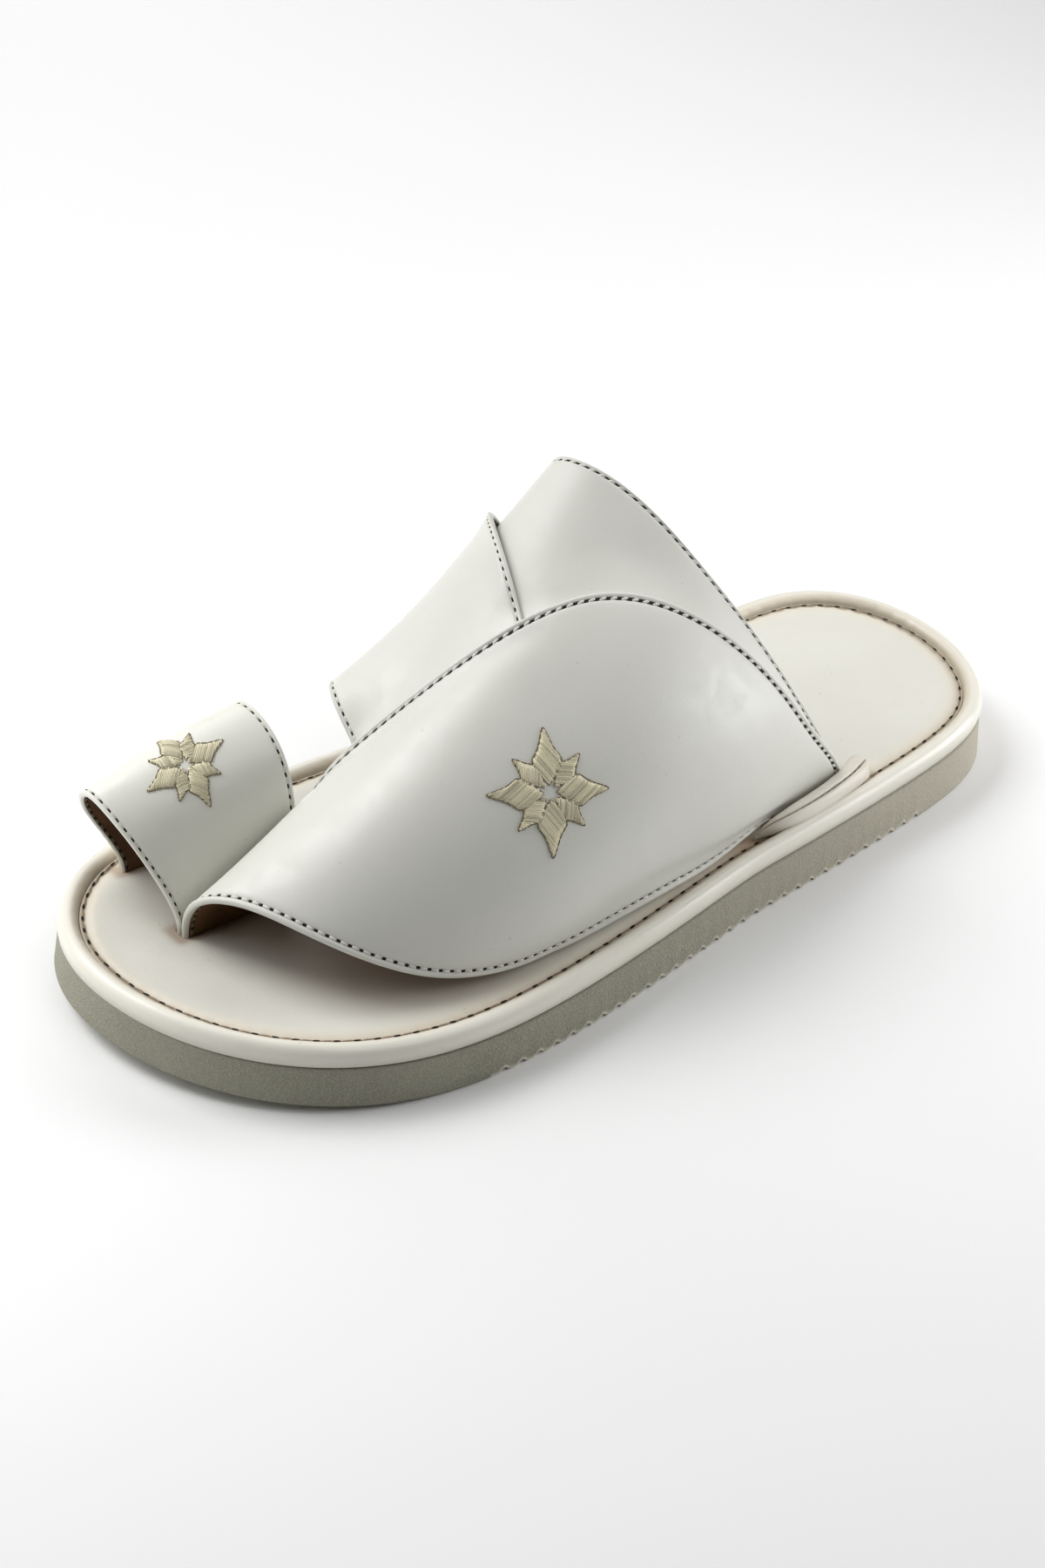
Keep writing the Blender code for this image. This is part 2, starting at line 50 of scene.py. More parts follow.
OUTLINE = (
    # landmark,             along, across
    ("heel back",             6.3,    4.4),
    ("heel outer corner",    18.0,   34.6),
    ("heel outer side",      52.7,   44.6),
    ("waist outer",         106.5,   46.3),
    ("waist outer front",   134.5,   47.8),
    ("ball outer",          198.5,   51.6),
    ("little toes",         247.0,   39.6),
    ("toe tip outer",       273.5,    9.5),
    ("toe tip inner",       277.0,  -27.3),
    ("big toe",             255.5,  -50.0),
    ("ball inner",          216.5,  -52.7),
    ("waist inner front",   151.5,  -43.7),
    ("waist inner",          77.5,  -31.5),
    ("heel inner corner",    24.0,  -25.5),
)
SOLE_LENGTH = 285.0
SPRING_START = 205.0
SPRING_RISE = 4.7
OUTSOLE_TOP = (14.1, 11.2)
STITCH_LEVEL = (18.9, 15.5)
GAP = 0.3

OUTSOLE_REACH = 7.3
OUTSOLE_WALL = (
    # offset from the stitches, share of the height from the ground
    (6.3, 1.0), (6.38, 0.93), (6.6, 0.75), (6.85, 0.55), (7.1, 0.36), (7.3, 0.22),
    (7.40, 0.12), (7.46, 0.085), (7.56, 0.05), (7.50, 0.02), (7.2, 0.0),
)
RIPPLE_FROM = 52.0
RIPPLE_TO = 217.0
RIPPLE_PITCH = 5.5
RIPPLE_CENTRE = 1.3
RIPPLE_WIDTH = 4.4
RIPPLE_DEPTH = 1.3

SLOTS = (
    # name,     along, across, to along, to across, width
    ("lateral",  74.2,   39.1,    107.0,      41.3,   4.9),
    ("medial",   75.2,  -27.3,    118.8,     -33.6,   4.9),
    ("toe_post", 220.0, -16.5,    257.0,     -18.0,   4.9),
    ("ring",     215.0, -44.4,    254.0,     -47.4,   2.9),
)

INSTEP_ROWS = (
    # rear edge             front edge            crown
    (77.5, 38.1, 18.0,      105.0, 40.3, 18.0,    0.0),
    (88.5, 34.7, 43.0,      120.0, 38.5, 44.0,    1.0),
    (100.5, 20.8, 69.0,     138.0, 28.5, 68.0,    2.0),
    (110.0, 3.0, 89.5,      157.0, 10.0, 79.5,    1.5),
    (118.0, -14.0, 102.0,   168.0, -9.0, 79.5,    0.5),
    (121.0, -28.0, 102.5,   163.0, -26.0, 77.0,   0.0),
    (114.0, -39.0, 87.5,    148.0, -37.5, 62.5,   0.5),
    (97.0, -41.5, 56.0,     132.0, -40.5, 42.0,   1.5),
    (82.0, -33.5, 28.0,     121.0, -37.0, 26.0,   0.5),
    (76.0, -26.5, 18.0,     118.0, -32.6, 18.0,   0.0),
)
VAMP_ROWS = (
    (75.0, 40.0, 18.0,      106.2, 42.2, 18.0,    0.0),
    (86.5, 39.3, 37.0,      126.0, 44.0, 20.0,    3.0),
    (99.5, 33.5, 57.0,      148.0, 45.2, 19.6,    7.0),
    (116.0, 21.8, 76.0,     173.0, 45.8, 18.9,   11.0),
    (136.0, 10.5, 86.8,     200.0, 45.4, 19.0,   12.0),
    (156.0, 3.5, 86.0,      225.0, 37.4, 24.3,   10.0),
    (177.0, -2.5, 75.5,     243.5, 20.5, 34.0,    5.5),
    (197.0, -10.0, 60.0,    252.0, 3.0, 36.8,     1.5),
    (215.0, -13.5, 45.0,    256.5, -9.5, 32.0,    0.0),
    (221.0, -15.2, 17.5,    256.0, -16.8, 17.5,   0.0),
)
MEDIAL_ROWS = (
    (161.5, 1.5, 82.0,      206.0, -6.0, 45.0,    0.5),
    (151.0, -19.0, 91.0,    199.5, -20.0, 49.5,  -1.0),
    (137.5, -37.5, 86.5,    195.0, -34.0, 55.0,  -2.0),
    (121.0, -46.0, 66.0,    178.0, -45.0, 44.0,  -1.0),
    (104.0, -46.0, 42.0,    150.0, -46.5, 31.5,   1.0),
    (88.0, -36.5, 26.5,     126.0, -41.0, 26.0,   0.5),
    (80.0, -29.0, 18.0,     118.0, -34.5, 18.0,   0.0),
)
RING_ROWS = (
    (221.0, -17.1, 17.5,    256.0, -18.7, 17.5,   0.0),
    (221.0, -16.4, 43.0,    260.0, -24.0, 34.0,   0.0),
    (220.5, -27.0, 60.0,    265.0, -33.5, 47.5,   1.0),
    (220.0, -38.0, 61.0,    266.0, -42.0, 50.5,   1.0),
    (218.0, -46.0, 49.0,    264.0, -48.0, 43.5,   0.0),
    (216.0, -44.5, 17.5,    253.0, -47.3, 17.5,   0.0),
)
STRAP_THICKNESS = 2.2
CROSSING_LAP = 0.4
EAR_PROFILE = (
    # offset, rise
    (-11.5, 1.4), (-8.6, 2.3), (-5.6, 4.7), (-1.5, 5.0), (2.4, 4.2), (7.6, 8.2),
    (12.5, 14.5),
)
EAR_FROM = 66.0
EAR_TO = 131.0
EAR_SLOT = (74.4, 123.2, -5.5, 2.5)
PRESS_REACH = 12.0
FRONT_DIP = 1.2
FRONT_DIP_FROM = 125.0
FRONT_DIP_FULL = 145.0
LEG_PULL = 0.7

# ---------------------------------------------------------------- sizes of the finish

RIM_PROFILE = (
    # offset from the stitches, rise over their level
    (5.75, -4.42), (6.15, -3.9), (6.42, -2.9), (6.45, -1.7), (6.15, -0.45), (5.5, 0.6),
    (4.6, 1.3), (3.6, 1.52), (2.6, 1.3), (1.75, 0.65), (1.2, -0.25), (0.95, -1.2),
    (0.95, -2.6),
)
RIM_WAVES = (3.1, 4.7, 8.3, 13.0)
RIM_HALF = 520           # stations on each side of the sole
FOOTBED_HALF = 260
FOOTBED_COLUMNS = 44     # across the middle of the footbed
FOOTBED_EDGE = 0.9
FOOTBED_STEPS = (0.9, 0.75, 0.35, -0.1, -0.6, -1.1, -1.7, -2.4, -3.2, -4.4, -6.0)
FOOTBED_THICKNESS = 1.15
DISH = 1.0
GROOVE_DEPTH = 0.75      # the stitches pull the footbed's edge down this far
GROOVE_WIDTH = 3.2
SLOT_TRIM = 1.3          # the leather closes up to the straps this much
SOLE_STITCH_PITCH = 5.0
COVERED_SEAM = (66, 108) # along: the lateral keeper lies over the stitches here
WORN_AND_SHADED_PATCH = (203.0, 15.0, 42.0, 33.0)     # rubbed brown under the ball of the foot, and painted shade under the vamp: middle, half sizes
TUCK_SHADE_PATCH = (114.0, 45.0, 10.0, 4.0)      # painted shade where the lateral keeper runs out under the vamp

EDGE_PROFILE = (
    # distance in from the strap's edge, height of the outside over the middle of the leather
    (0.0, 0.10), (0.12, 0.62), (0.45, 1.02), (0.95, 1.18), (1.45, 1.08), (1.9, 0.76),
    (2.3, 0.64), (2.7, 0.78), (3.2, 0.98), (4.2, 1.08), (6.0, 1.10),
)
STITCH_COLUMN = 6        # the seam's row in the edge profile
STITCH_FORMS = {
    # form: thread's length, width, height, bow; hole's length, width; lean of the thread and of the hole
    "dots": (2.15, 0.74, 0.48, 0.16, 1.10, 1.02, 0.10, 0.0),
    "rope": (2.50, 0.80, 0.62, 0.16, 3.00, 1.30, 0.34, 0.22),
    "dash": (2.05, 0.62, 0.40, 0.12, 1.30, 0.58, 0.08, 0.08),
}
STRAP_EDGES = {
    # strap: its edge profile as a share of the full one; form of the rear and of the front seam
    "vamp": (0.90, "rope", "dots"),
    "instep": (0.50, "rope", "dash"),
    "medial": (0.60, "dash", "dash"),
    "ring": (0.55, "dash", "dash"),
}
LATERAL_KEEPER = (
    # along, inner, seam, outer across, height over the stitches
    (66.0,   37.7,  42.4,  45.6,  4.2),
    (70.0,   38.9,  43.7,  46.9,  4.6),
    (74.0,   40.6,  44.9,  47.8,  4.8),
    (79.0,   42.2,  45.9,  48.5,  5.0),
    (85.0,   43.3,  46.7,  49.2,  5.1),
    (93.0,   44.1,  47.3,  49.6,  5.1),
    (101.0,  44.6,  47.3,  49.3,  4.9),
    (106.0,  44.9,  46.9,  48.3,  4.4),
    (110.5,  45.1,  46.3,  47.2,  3.8),
    (114.0,  45.2,  45.8,  46.4,  3.0),
)
KEEPER_ROUND = 5.8       # the spoon-shaped rear end is rounded over this length
KEEPER_TAPER = 9.0       # the front end runs out over this length
LIP_SECTION = (
    # part of the way: 0 to 1 from inner edge to seam, 1 to 2 from seam to outer edge; share of the height
    (0.0, 0.42), (0.04, 0.70), (0.15, 0.91), (0.38, 1.0), (0.70, 0.98), (0.88, 0.90),
    (0.98, 0.77), (1.02, 0.73), (1.10, 0.85), (1.32, 0.92), (1.56, 0.86), (1.78, 0.68),
    (1.93, 0.46), (2.0, 0.24),
)

EDGE_STITCH_IN = 2.3
EDGE_STITCH_PITCH = 3.0
LINING_SPACING = 1.6
INSIDE_DEPTH = 1.08      # the seam's threads on the inside lie this far under the middle
FOLD_PROFILE = (
    # distance in, height of the inner face: pared thinner at the edge, then folded in under it
    (0.0, -0.1), (0.15, -0.5), (0.5, -0.72), (1.5, -0.95), (1.7, -0.85), (1.9, -0.2),
    (99.0, -0.15),
)
LINING_STEPS = (1.85, 2.0, 2.35, 3.35)
LINING_PROFILE = (
    # distance in from the lining's edge, height of its inner face
    (0.0, -0.75), (0.15, -0.98), (0.5, -1.08), (99.0, -1.1),
)
CREASES = (
    # strap,   from,                    to,                      height, reach
    ("vamp",   (226.0, -3.0, 41.0),     (196.0, 14.0, 66.0),      -0.5,  7.0),
    ("vamp",   (120.0, 40.0, 34.0),     (160.0, 44.0, 38.0),      -0.4,  9.0),
    ("instep", (130.0, 2.0, 92.0),      (112.0, 18.0, 84.0),      -0.5,  8.0),
    ("medial", (150.0, -44.0, 62.0),    (172.0, -42.0, 60.0),     -0.4,  7.0),
)
EDGE_FLARES = (
    # strap,   edge,    from, to: shares of its path,  lift of the edge, trough inside it
    ("vamp",   "rear",  0.56, 0.96,                    1.3,              0.9),
    ("vamp",   "front", 0.01, 0.40,                    2.2,              0.6),
    ("medial", "rear",  0.04, 0.36,                    1.0,              0.3),
)
# the medial keeper: half its thickness at steps in from its edge, along the bead and elsewhere
EAR_STEPS = (0.0, 0.1, 0.3, 0.6, 1.0, 1.4, 1.7, 2.0, 2.5, 3.2)
EAR_BEAD = (0.15, 0.5, 0.8, 0.95, 0.9, 0.62, 0.6, 0.78, 0.9, 0.9)
EAR_PLAIN = (0.15, 0.5, 0.75, 0.88, 0.9, 0.9, 0.9, 0.9, 0.9, 0.9)

STAR = (
    # turn of the first point, reach, waist place, half width, satin angle
    (0.0,  16.2, 8.4, 3.9, 38.0),
    (45.0, 12.6, 7.4, 2.7, -52.0),
)
STAR_HOLLOW = 1.6        # the points start this far from the middle
SATIN_PITCH = 0.42
OUTLINE_PITCH = 1.6
PATCH_COUNT = 41

LIGHTS = (
    # name, place, aim, size, power; metres and watts
    ("key", (0.43, -0.74, 1.10), (0, 0, 0.03), 0.8, 9.0),
    ("heel_side", (-0.53, 0.34, 0.18), (-0.05, 0, 0.03), 0.3, 1.6),
    ("overhead", (-0.36, 0.02, 0.45), (0, 0, 0.03), 0.3, 0.45),
    ("toe_side", (0.31, -0.17, 0.20), (0.09, -0.02, 0.03), 0.3, 0.42),
    ("outer_side", (-0.12, 0.74, 1.12), (0, 0, 0.03), 0.8, 2.5),
    ("inner_side", (0.0, -1.27, 0.59), (0, 0, 0.03), 0.8, 1.0),
    ("backdrop", (-0.55, -0.80, 0.70), (-0.50, -0.55, 0), 0.8, 2.5),
)


# ---------------------------------------------------------------- curves

def spline(knots, rows, start=None, end=None):
    """Cubic spline through rows at the knots; start and end set the end slopes, None leaves them free."""
    knots = np.asarray(knots, float)
    rows = np.asarray(rows, float)
    last = len(knots) - 1
    step = np.diff(knots)
    wide = step.reshape((-1,) + (1,) * (rows.ndim - 1))
    rise = np.diff(rows, axis=0) / wide
    matrix = np.zeros((last + 1, last + 1))
    right = np.zeros_like(rows)
    for i in range(1, last):
        matrix[i, i - 1:i + 2] = step[i - 1], 2 * (step[i - 1] + step[i]), step[i]
        right[i] = 6 * (rise[i] - rise[i - 1])
    matrix[0, 0] = matrix[last, last] = 1
    if start is not None:
        matrix[0, :2] = 2 * step[0], step[0]
        right[0] = 6 * (rise[0] - start)
    if end is not None:
        matrix[last, last - 1:] = step[-1], 2 * step[-1]
        right[last] = 6 * (end - rise[-1])
    bend = np.linalg.solve(matrix, right.reshape(last + 1, -1)).reshape(rows.shape)

    def at(places):
        places = np.atleast_1d(np.asarray(places, float))
        i = np.clip(np.searchsorted(knots, places, side="right") - 1, 0, last - 1)
        shape = (-1,) + (1,) * (rows.ndim - 1)
        a = (knots[i + 1] - places).reshape(shape)
        b = (places - knots[i]).reshape(shape)
        h = step[i].reshape(shape)
        cubic = (bend[i] * a ** 3 + bend[i + 1] * b ** 3) / (6 * h)
        return cubic + (rows[i] / h - bend[i] * h / 6) * a + (rows[i + 1] / h - bend[i + 1] * h / 6) * b

    return at


def unit(ways):
    """The same ways with length one."""
    return ways / np.maximum(np.linalg.norm(ways, axis=-1), 1e-9)[..., None]


def run_along(points):
    """Distance run along a line of points."""
    return np.concatenate([[0.0], np.cumsum(np.linalg.norm(np.diff(points, axis=0), axis=-1))])


def at_run(line, run, places):
    """Rows of a line at the distances run along it."""
    return np.stack([np.interp(places, run, column) for column in line.T], axis=1)


def smooth(share):
    share = np.clip(share, 0.0, 1.0)
    return share * share * (3 - 2 * share)


def bell(distance, reach):
    return np.exp(-(distance / reach) ** 2)


def spring(along):
    share = np.clip((np.asarray(along, float) - SPRING_START) / (SOLE_LENGTH - SPRING_START), 0, None)
    return SPRING_RISE * share ** 2


def level(heights, along):
    share = np.asarray(along, float) / SOLE_LENGTH
    return heights[0] + (heights[1] - heights[0]) * share + spring(along)


def dense_outline():
    """Line of the footbed stitches from the heel back over the outer side, and its outward ways."""
    corners = np.array([row[1:] for row in OUTLINE])
    count = len(corners)
    curve = spline(np.arange(3 * count + 1), np.vstack([corners] * 3 + [corners[:1]]))
    places = np.linspace(count, 2 * count, 2880, endpoint=False)
    points = curve(places)
    ahead = unit(curve(places + 0.01) - curve(places - 0.01))
    heel = int(np.argmin(points[:, 0]))
    outward = np.stack([-ahead[:, 1], ahead[:, 0]], axis=1)
    return np.roll(points, -heel, axis=0), np.roll(outward, -heel, axis=0)


LINE, OUTWARD = dense_outline()
CLOSED = np.vstack([LINE, LINE[:1]])
CLOSED_RUN = run_along(CLOSED)


def sole_frame(half):
    """Stations around the sole, half of them on each side: points, outward ways, distance run."""
    toe = CLOSED_RUN[int(np.argmax(LINE[:, 0]))]
    places = np.concatenate([
        np.linspace(0, toe, half, endpoint=False),
        np.linspace(toe, CLOSED_RUN[-1], half, endpoint=False),
    ])
    ways = np.vstack([OUTWARD, OUTWARD[:1]])
    return at_run(CLOSED, CLOSED_RUN, places), unit(at_run(ways, CLOSED_RUN, places)), places


def width_at(offset, along):
    """Outer and inner side of the offset outline at each place along."""
    points = LINE + OUTWARD * offset
    points = np.roll(points, -int(np.argmin(points[:, 0])), axis=0)
    toe = int(np.argmax(points[:, 0]))
    inner = np.vstack([points[toe:], points[:1]])[::-1]
    return [np.interp(along, side[:, 0], side[:, 1]) for side in (points[:toe + 1], inner)]


def across(near, wide, interior):
    """Places across a width and how far in they are: near both edges as given, evenly between."""
    middle = np.linspace(near[-1], wide - near[-1], interior + 2)[1:-1]
    places = np.concatenate([near, middle, wide - near[::-1]])
    return places, np.minimum(places, wide - places)


# ---------------------------------------------------------------- meshes

def to_world(points):
    return (np.asarray(points, float) - CENTRE) * MM


def add_object(name, data):
    item = bpy.data.objects.new(name, data)
    bpy.context.scene.collection.objects.link(item)
    return item


def set_attributes(item, values):
    """Numbers for each point of a piece, by name, read by its material."""
    for name, numbers in values.items():
        data = item.data.attributes.new(name, "FLOAT", "POINT").data
        data.foreach_set("value", np.asarray(numbers, np.float32).ravel())


def piece(name, points, faces, material, slot, replaced=(), **attributes):
    """A piece of the shoe from millimetre points; it rides on the shoe's one body."""
    mesh = bpy.data.meshes.new(name)
    mesh.from_pydata(to_world(points).tolist(), [], [list(map(int, face)) for face in faces])
    mesh.validate()
    mesh.materials.append(material)
    mesh.polygons.foreach_set("use_smooth", [True] * len(mesh.polygons))
    item = add_object(name, mesh)
    set_attributes(item, attributes)
    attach(item, "root")
    if replaced:
        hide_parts(*replaced)
    return item


def quads(number):
    """Faces between the rows of a table of point numbers."""
    corners = [number[:-1, :-1], number[1:, :-1], number[1:, 1:], number[:-1, 1:]]
    return np.stack(corners, axis=-1).reshape(-1, 4).tolist()


def loft_faces(stations, columns):
    """Faces of a loft that closes around its stations."""
    number = np.arange(stations * columns).reshape(stations, columns)
    return quads(np.vstack([number, number[:1]]).T)


def wall_faces(rings, around):
    """Faces between closed rings of points."""
    number = np.arange(rings * around).reshape(rings, around)
    return quads(np.hstack([number, number[:, :1]]).T)


def tube_faces(rings, around):
    """Faces of a closed tube: its wall and both ends."""
    faces = wall_faces(rings, around)
    last = (rings - 1) * around
    for k in range(1, around // 2):
        end = (k - 1, k, around - k - 1, around - k)
        faces += [end[::-1], [vertex + last for vertex in end]]
    return faces


def cap_faces(ring):
    """Faces across a closed ring whose two sides pair up."""
    half = len(ring) // 2
    faces = [(ring[0], ring[1], ring[-1])]
    faces += [(ring[k], ring[k + 1], ring[-k - 1], ring[-k]) for k in range(1, half - 1)]
    return faces + [(ring[half - 1], ring[half], ring[half + 1])]


def flipped(faces):
    return [tuple(face[::-1]) for face in faces]


def normals_of(grid):
    return unit(np.cross(np.gradient(grid, axis=0), np.gradient(grid, axis=1)))


def solid(name, top, bottom, faces, edge, material, slot, replaced=(), **attributes):
    """Closed solid between an upper and a lower skin with the same faces and the given edge."""
    count = len(top)
    beside = np.roll(edge, -1)
    faces = faces + [[vertex + count for vertex in reversed(face)] for face in faces]
    faces += np.stack([edge, beside, beside + count, edge + count], axis=1).tolist()
    return piece(name, np.vstack([top, bottom]), faces, material, slot, replaced, **attributes)


def shell(name, top, bottom, *args, **attributes):
    """Closed solid between two grids of the same shape."""
    number = np.arange(top.size // 3).reshape(top.shape[:2])
    edge = np.concatenate([number[0], number[1:, -1], number[-1, -2::-1], number[-2:0:-1, 0]])
    top, bottom = top.reshape(-1, 3), bottom.reshape(-1, 3)
    return solid(name, top, bottom, quads(number), edge, *args, **attributes)


def scatter(name, form, places, axes, material):
    """One mesh of many copies: each place has axes (ahead, side, up) for the copy's x, y and z."""
    points, faces = form
    copies = np.einsum("pk,nkc->npc", points, axes) + places[:, None]
    every = np.asarray(faces)[None] + (np.arange(len(places)) * len(points))[:, None, None]
    piece(name, copies.reshape(-1, 3), every.reshape(-1, every.shape[2]), material, "stitch_thread")


def leaning(ahead, side, up, lean):
    """Axes for scatter, turned by the lean about up."""
    cos, sin = (np.reshape(f(lean), (-1, 1)) for f in (np.cos, np.sin))
    return np.stack([ahead * cos + side * sin, side * cos - ahead * sin, up], axis=1)


def thread_form(length, width, height, bow, rings=7, around=8):
    """A stitch: a thread that rises out of one hole and goes down in the next."""
    t = np.linspace(-1, 1, rings)[:, None]
    turn = 2 * math.pi * np.arange(around) / around
    full = np.sqrt(np.maximum(1 - np.abs(t) ** 3, 0.02))
    points = np.stack([
        t * length / 2 + 0 * turn,
        np.cos(turn) * width / 2 * full,
        np.sin(turn) * height / 2 * full + bow * (1 - t * t),
    ], axis=2)
    return points.reshape(-1, 3), tube_faces(rings, around)


def lens_form(length, width, depth, lift, around=10):
    """A needle hole's painted shadow: a shallow dark dish whose rim stands just clear of the leather."""
    turn = 2 * math.pi * np.arange(around) / around
    points = [[(0, 0, lift - depth), (0, 0, lift - 4 * depth)]]
    for share, drop in ((0.6, 0.6), (1.0, 0.0)):
        x, y = np.cos(turn) * length / 2 * share, np.sin(turn) * width / 2 * share
        points.append(np.stack([x, y, 0 * turn + lift - depth * drop], axis=1))
    faces = []
    for k in range(around):
        a, b = 2 + k, 2 + (k + 1) % around
        faces += [(0, a, b), (a, a + around, b + around), (a, b + around, b), (1, b + around, a + around)]
    return np.concatenate(points), faces


def strand_mesh(lines, width, height, around=6):
    """Tubes along lines of (point, normal) rows, flattened against the leather."""
    turn = 2 * math.pi * np.arange(around)[:, None] / around
    points, faces, first = [], [], 0
    for line, normal in lines:
        side = unit(np.cross(normal, unit(np.gradient(line, axis=0))))[:, None]
        round_line = side * np.cos(turn) * width / 2 + normal[:, None] * np.sin(turn) * height / 2
        points.append((line[:, None] + round_line).reshape(-1, 3))
        faces += [[vertex + first for vertex in face] for face in tube_faces(len(line), around)]
        first += len(line) * around
    return np.concatenate(points), faces


def box_cutter(name, plan, low, high):
    """Box over a plan of four corners, counterclockwise."""
    points = [(x, y, z) for z in (low, high) for x, y in plan]
    mesh = bpy.data.meshes.new(name)
    faces = [(3, 2, 1, 0), (4, 5, 6, 7)] + wall_faces(2, 4)
    mesh.from_pydata(to_world(points).tolist(), [], faces)
    return add_object(name, mesh)


def cut(item, cutters):
    """Cut holes through a piece and drop the cutters."""
    for cutter in cutters:
        modifier = item.modifiers.new("slot", "BOOLEAN")
        modifier.operation = "DIFFERENCE"
        modifier.solver = "EXACT"
        modifier.object = cutter
    bpy.context.view_layer.update()
    mesh = bpy.data.meshes.new_from_object(item.evaluated_get(bpy.context.evaluated_depsgraph_get()))
    item.modifiers.clear()
    old, item.data = item.data, mesh
    bpy.data.meshes.remove(old)
    for cutter in cutters:
        bpy.data.objects.remove(cutter, do_unlink=True)
    mesh.polygons.foreach_set("use_smooth", [True] * len(mesh.polygons))


# ---------------------------------------------------------------- materials

class Nodes:
    """Short ways to build a procedural material."""

    def __init__(self, name, roughness, specular=0.5):
        self.material = bpy.data.materials.new(name)
        self.material.use_nodes = True
        self.tree = self.material.node_tree
        self.surface = self.tree.nodes["Principled BSDF"].inputs
        self.surface["Roughness"].default_value = roughness
        self.surface["Specular IOR Level"].default_value = specular
        self.place = self.add("ShaderNodeTexCoord", "Object", {})
        self.bump = None

    def put(self, socket, value):
        """Link an output to a socket, or set the socket's own number or colour."""
        if isinstance(value, tuple):
            socket.default_value = (*value, 1.0)
        elif isinstance(value, (int, float)):
            socket.default_value = value
        else:
            self.tree.links.new(value, socket)

    def add(self, kind, output, inputs, **settings):
        node = self.tree.nodes.new(kind)
        for key, value in settings.items():
            setattr(node, key, value)
        for key, value in inputs.items():
            self.put(node.inputs[key], value)
        return node.outputs[output]

    def noise(self, per_mm, detail=3.0, rough=0.5, distortion=0.0):
        inputs = {"Vector": self.place, "Scale": per_mm / MM, "Detail": detail, "Roughness": rough}
        return self.add("ShaderNodeTexNoise", "Fac", inputs | {"Distortion": distortion})

    def cells(self, per_mm):
        return self.add("ShaderNodeTexVoronoi", "Distance", {"Vector": self.place, "Scale": per_mm / MM})

    def span(self, value, low, high, to_low=0.0, to_high=1.0):
        inputs = {"Value": value, "From Min": low, "From Max": high, "To Min": to_low, "To Max": to_high}
        return self.add("ShaderNodeMapRange", "Result", inputs, interpolation_type="SMOOTHSTEP")

    def mix(self, share, first, second):
        inputs = {"Factor": share, "A": first, "B": second}
        return self.add("ShaderNodeMix", "Result", inputs, data_type="RGBA")

    def times(self, a, b):
        return self.add("ShaderNodeMath", "Value", {0: a, 1: b}, operation="MULTIPLY")

    def attribute(self, name):
        return self.add("ShaderNodeAttribute", "Fac", {}, attribute_name=name)

    def colour(self, value):
        self.put(self.surface["Base Color"], value)

    def relief(self, height, depth_mm, strength=1.0):
        """Adds bump of the given depth on top of what is there."""
        inputs = {"Strength": strength, "Distance": depth_mm * MM, "Height": height}
        if self.bump is not None:
            inputs["Normal"] = self.bump
        self.bump = self.add("ShaderNodeBump", "Normal", inputs)
        self.put(self.surface["Normal"], self.bump)


def leather(name, light, dark, stain_and_shade, warm, roughness, grain_depth, coat=0.0):
    """Coated leather: fine grain, slow tone changes, faint scuffs and specks, with dirt and painted shade
    laid on per point.
    """
    n = Nodes(name, roughness)
    base = n.mix(n.span(n.noise(0.02, 4.0, 0.55), 0.35, 0.7), light, dark)
    speck = n.noise(0.55, 2.0, 0.4)
    base = n.mix(n.times(n.span(speck, 0.74, 0.82), 0.28), base, stain_and_shade)
    base = n.mix(n.attribute("warm"), base, warm)
    # soil: dirt and painted shade set on each piece's points, mixed toward the stain_and_shade colour
    n.colour(n.mix(n.times(n.attribute("soil"), 0.8), base, stain_and_shade))
    scuff = n.noise(0.12, 5.0, 0.65, 0.6)
    n.put(n.surface["Roughness"], n.span(scuff, 0.3, 0.75, roughness - 0.05, roughness + 0.12))
    n.relief(n.noise(0.035, 2.0, 0.5), 0.5, 0.35)
    n.relief(n.cells(1.6), grain_depth, 0.5)
    n.relief(n.noise(3.5, 3.0, 0.6), grain_depth * 0.8, 0.5)
    if coat:
        n.surface["Coat Weight"].default_value = coat
        n.surface["Coat Roughness"].default_value = 0.22
    return n.material


def lining_leather():
    n = Nodes("tan_lining_darkened_with_painted_shade", 0.6, 0.35)
    # the tan is darkened toward brown: partly painted shade inside the straps
    base = n.mix(n.span(n.noise(0.06, 4.0, 0.6), 0.3, 0.75), (0.215, 0.118, 0.056), (0.140, 0.078, 0.038))
    n.colour(n.mix(n.span(n.cells(1.3), 0.0, 0.28, 0.45, 0.0), base, (0.060, 0.033, 0.017)))
    n.relief(n.cells(1.1), 0.12, 0.7)
    n.relief(n.noise(2.0, 3.0), 0.06, 0.6)
    return n.material


def sole_rubber():
    n = Nodes("microcellular_rubber", 0.82, 0.3)
    base = n.mix(n.span(n.noise(0.03, 4.0, 0.6), 0.35, 0.7), (0.350, 0.342, 0.280), (0.300, 0.294, 0.236))
    grit = n.noise(2.3, 3.0, 0.7)
    base = n.mix(n.span(grit, 0.40, 0.70), base, (0.460, 0.448, 0.370))
    base = n.mix(n.span(n.cells(1.0), 0.0, 0.22, 0.55, 0.0), base, (0.195, 0.183, 0.146))
    # lighter and warmer toward the heel: painted light on the sole's heel end
    base = n.mix(n.times(n.attribute("heel"), 0.5), base, (0.66, 0.61, 0.52))
    n.colour(n.mix(n.attribute("wear"), base, (0.78, 0.75, 0.66)))
    n.relief(grit, 0.25, 0.7)
    n.relief(n.cells(1.3), 0.2, 0.6)
    return n.material


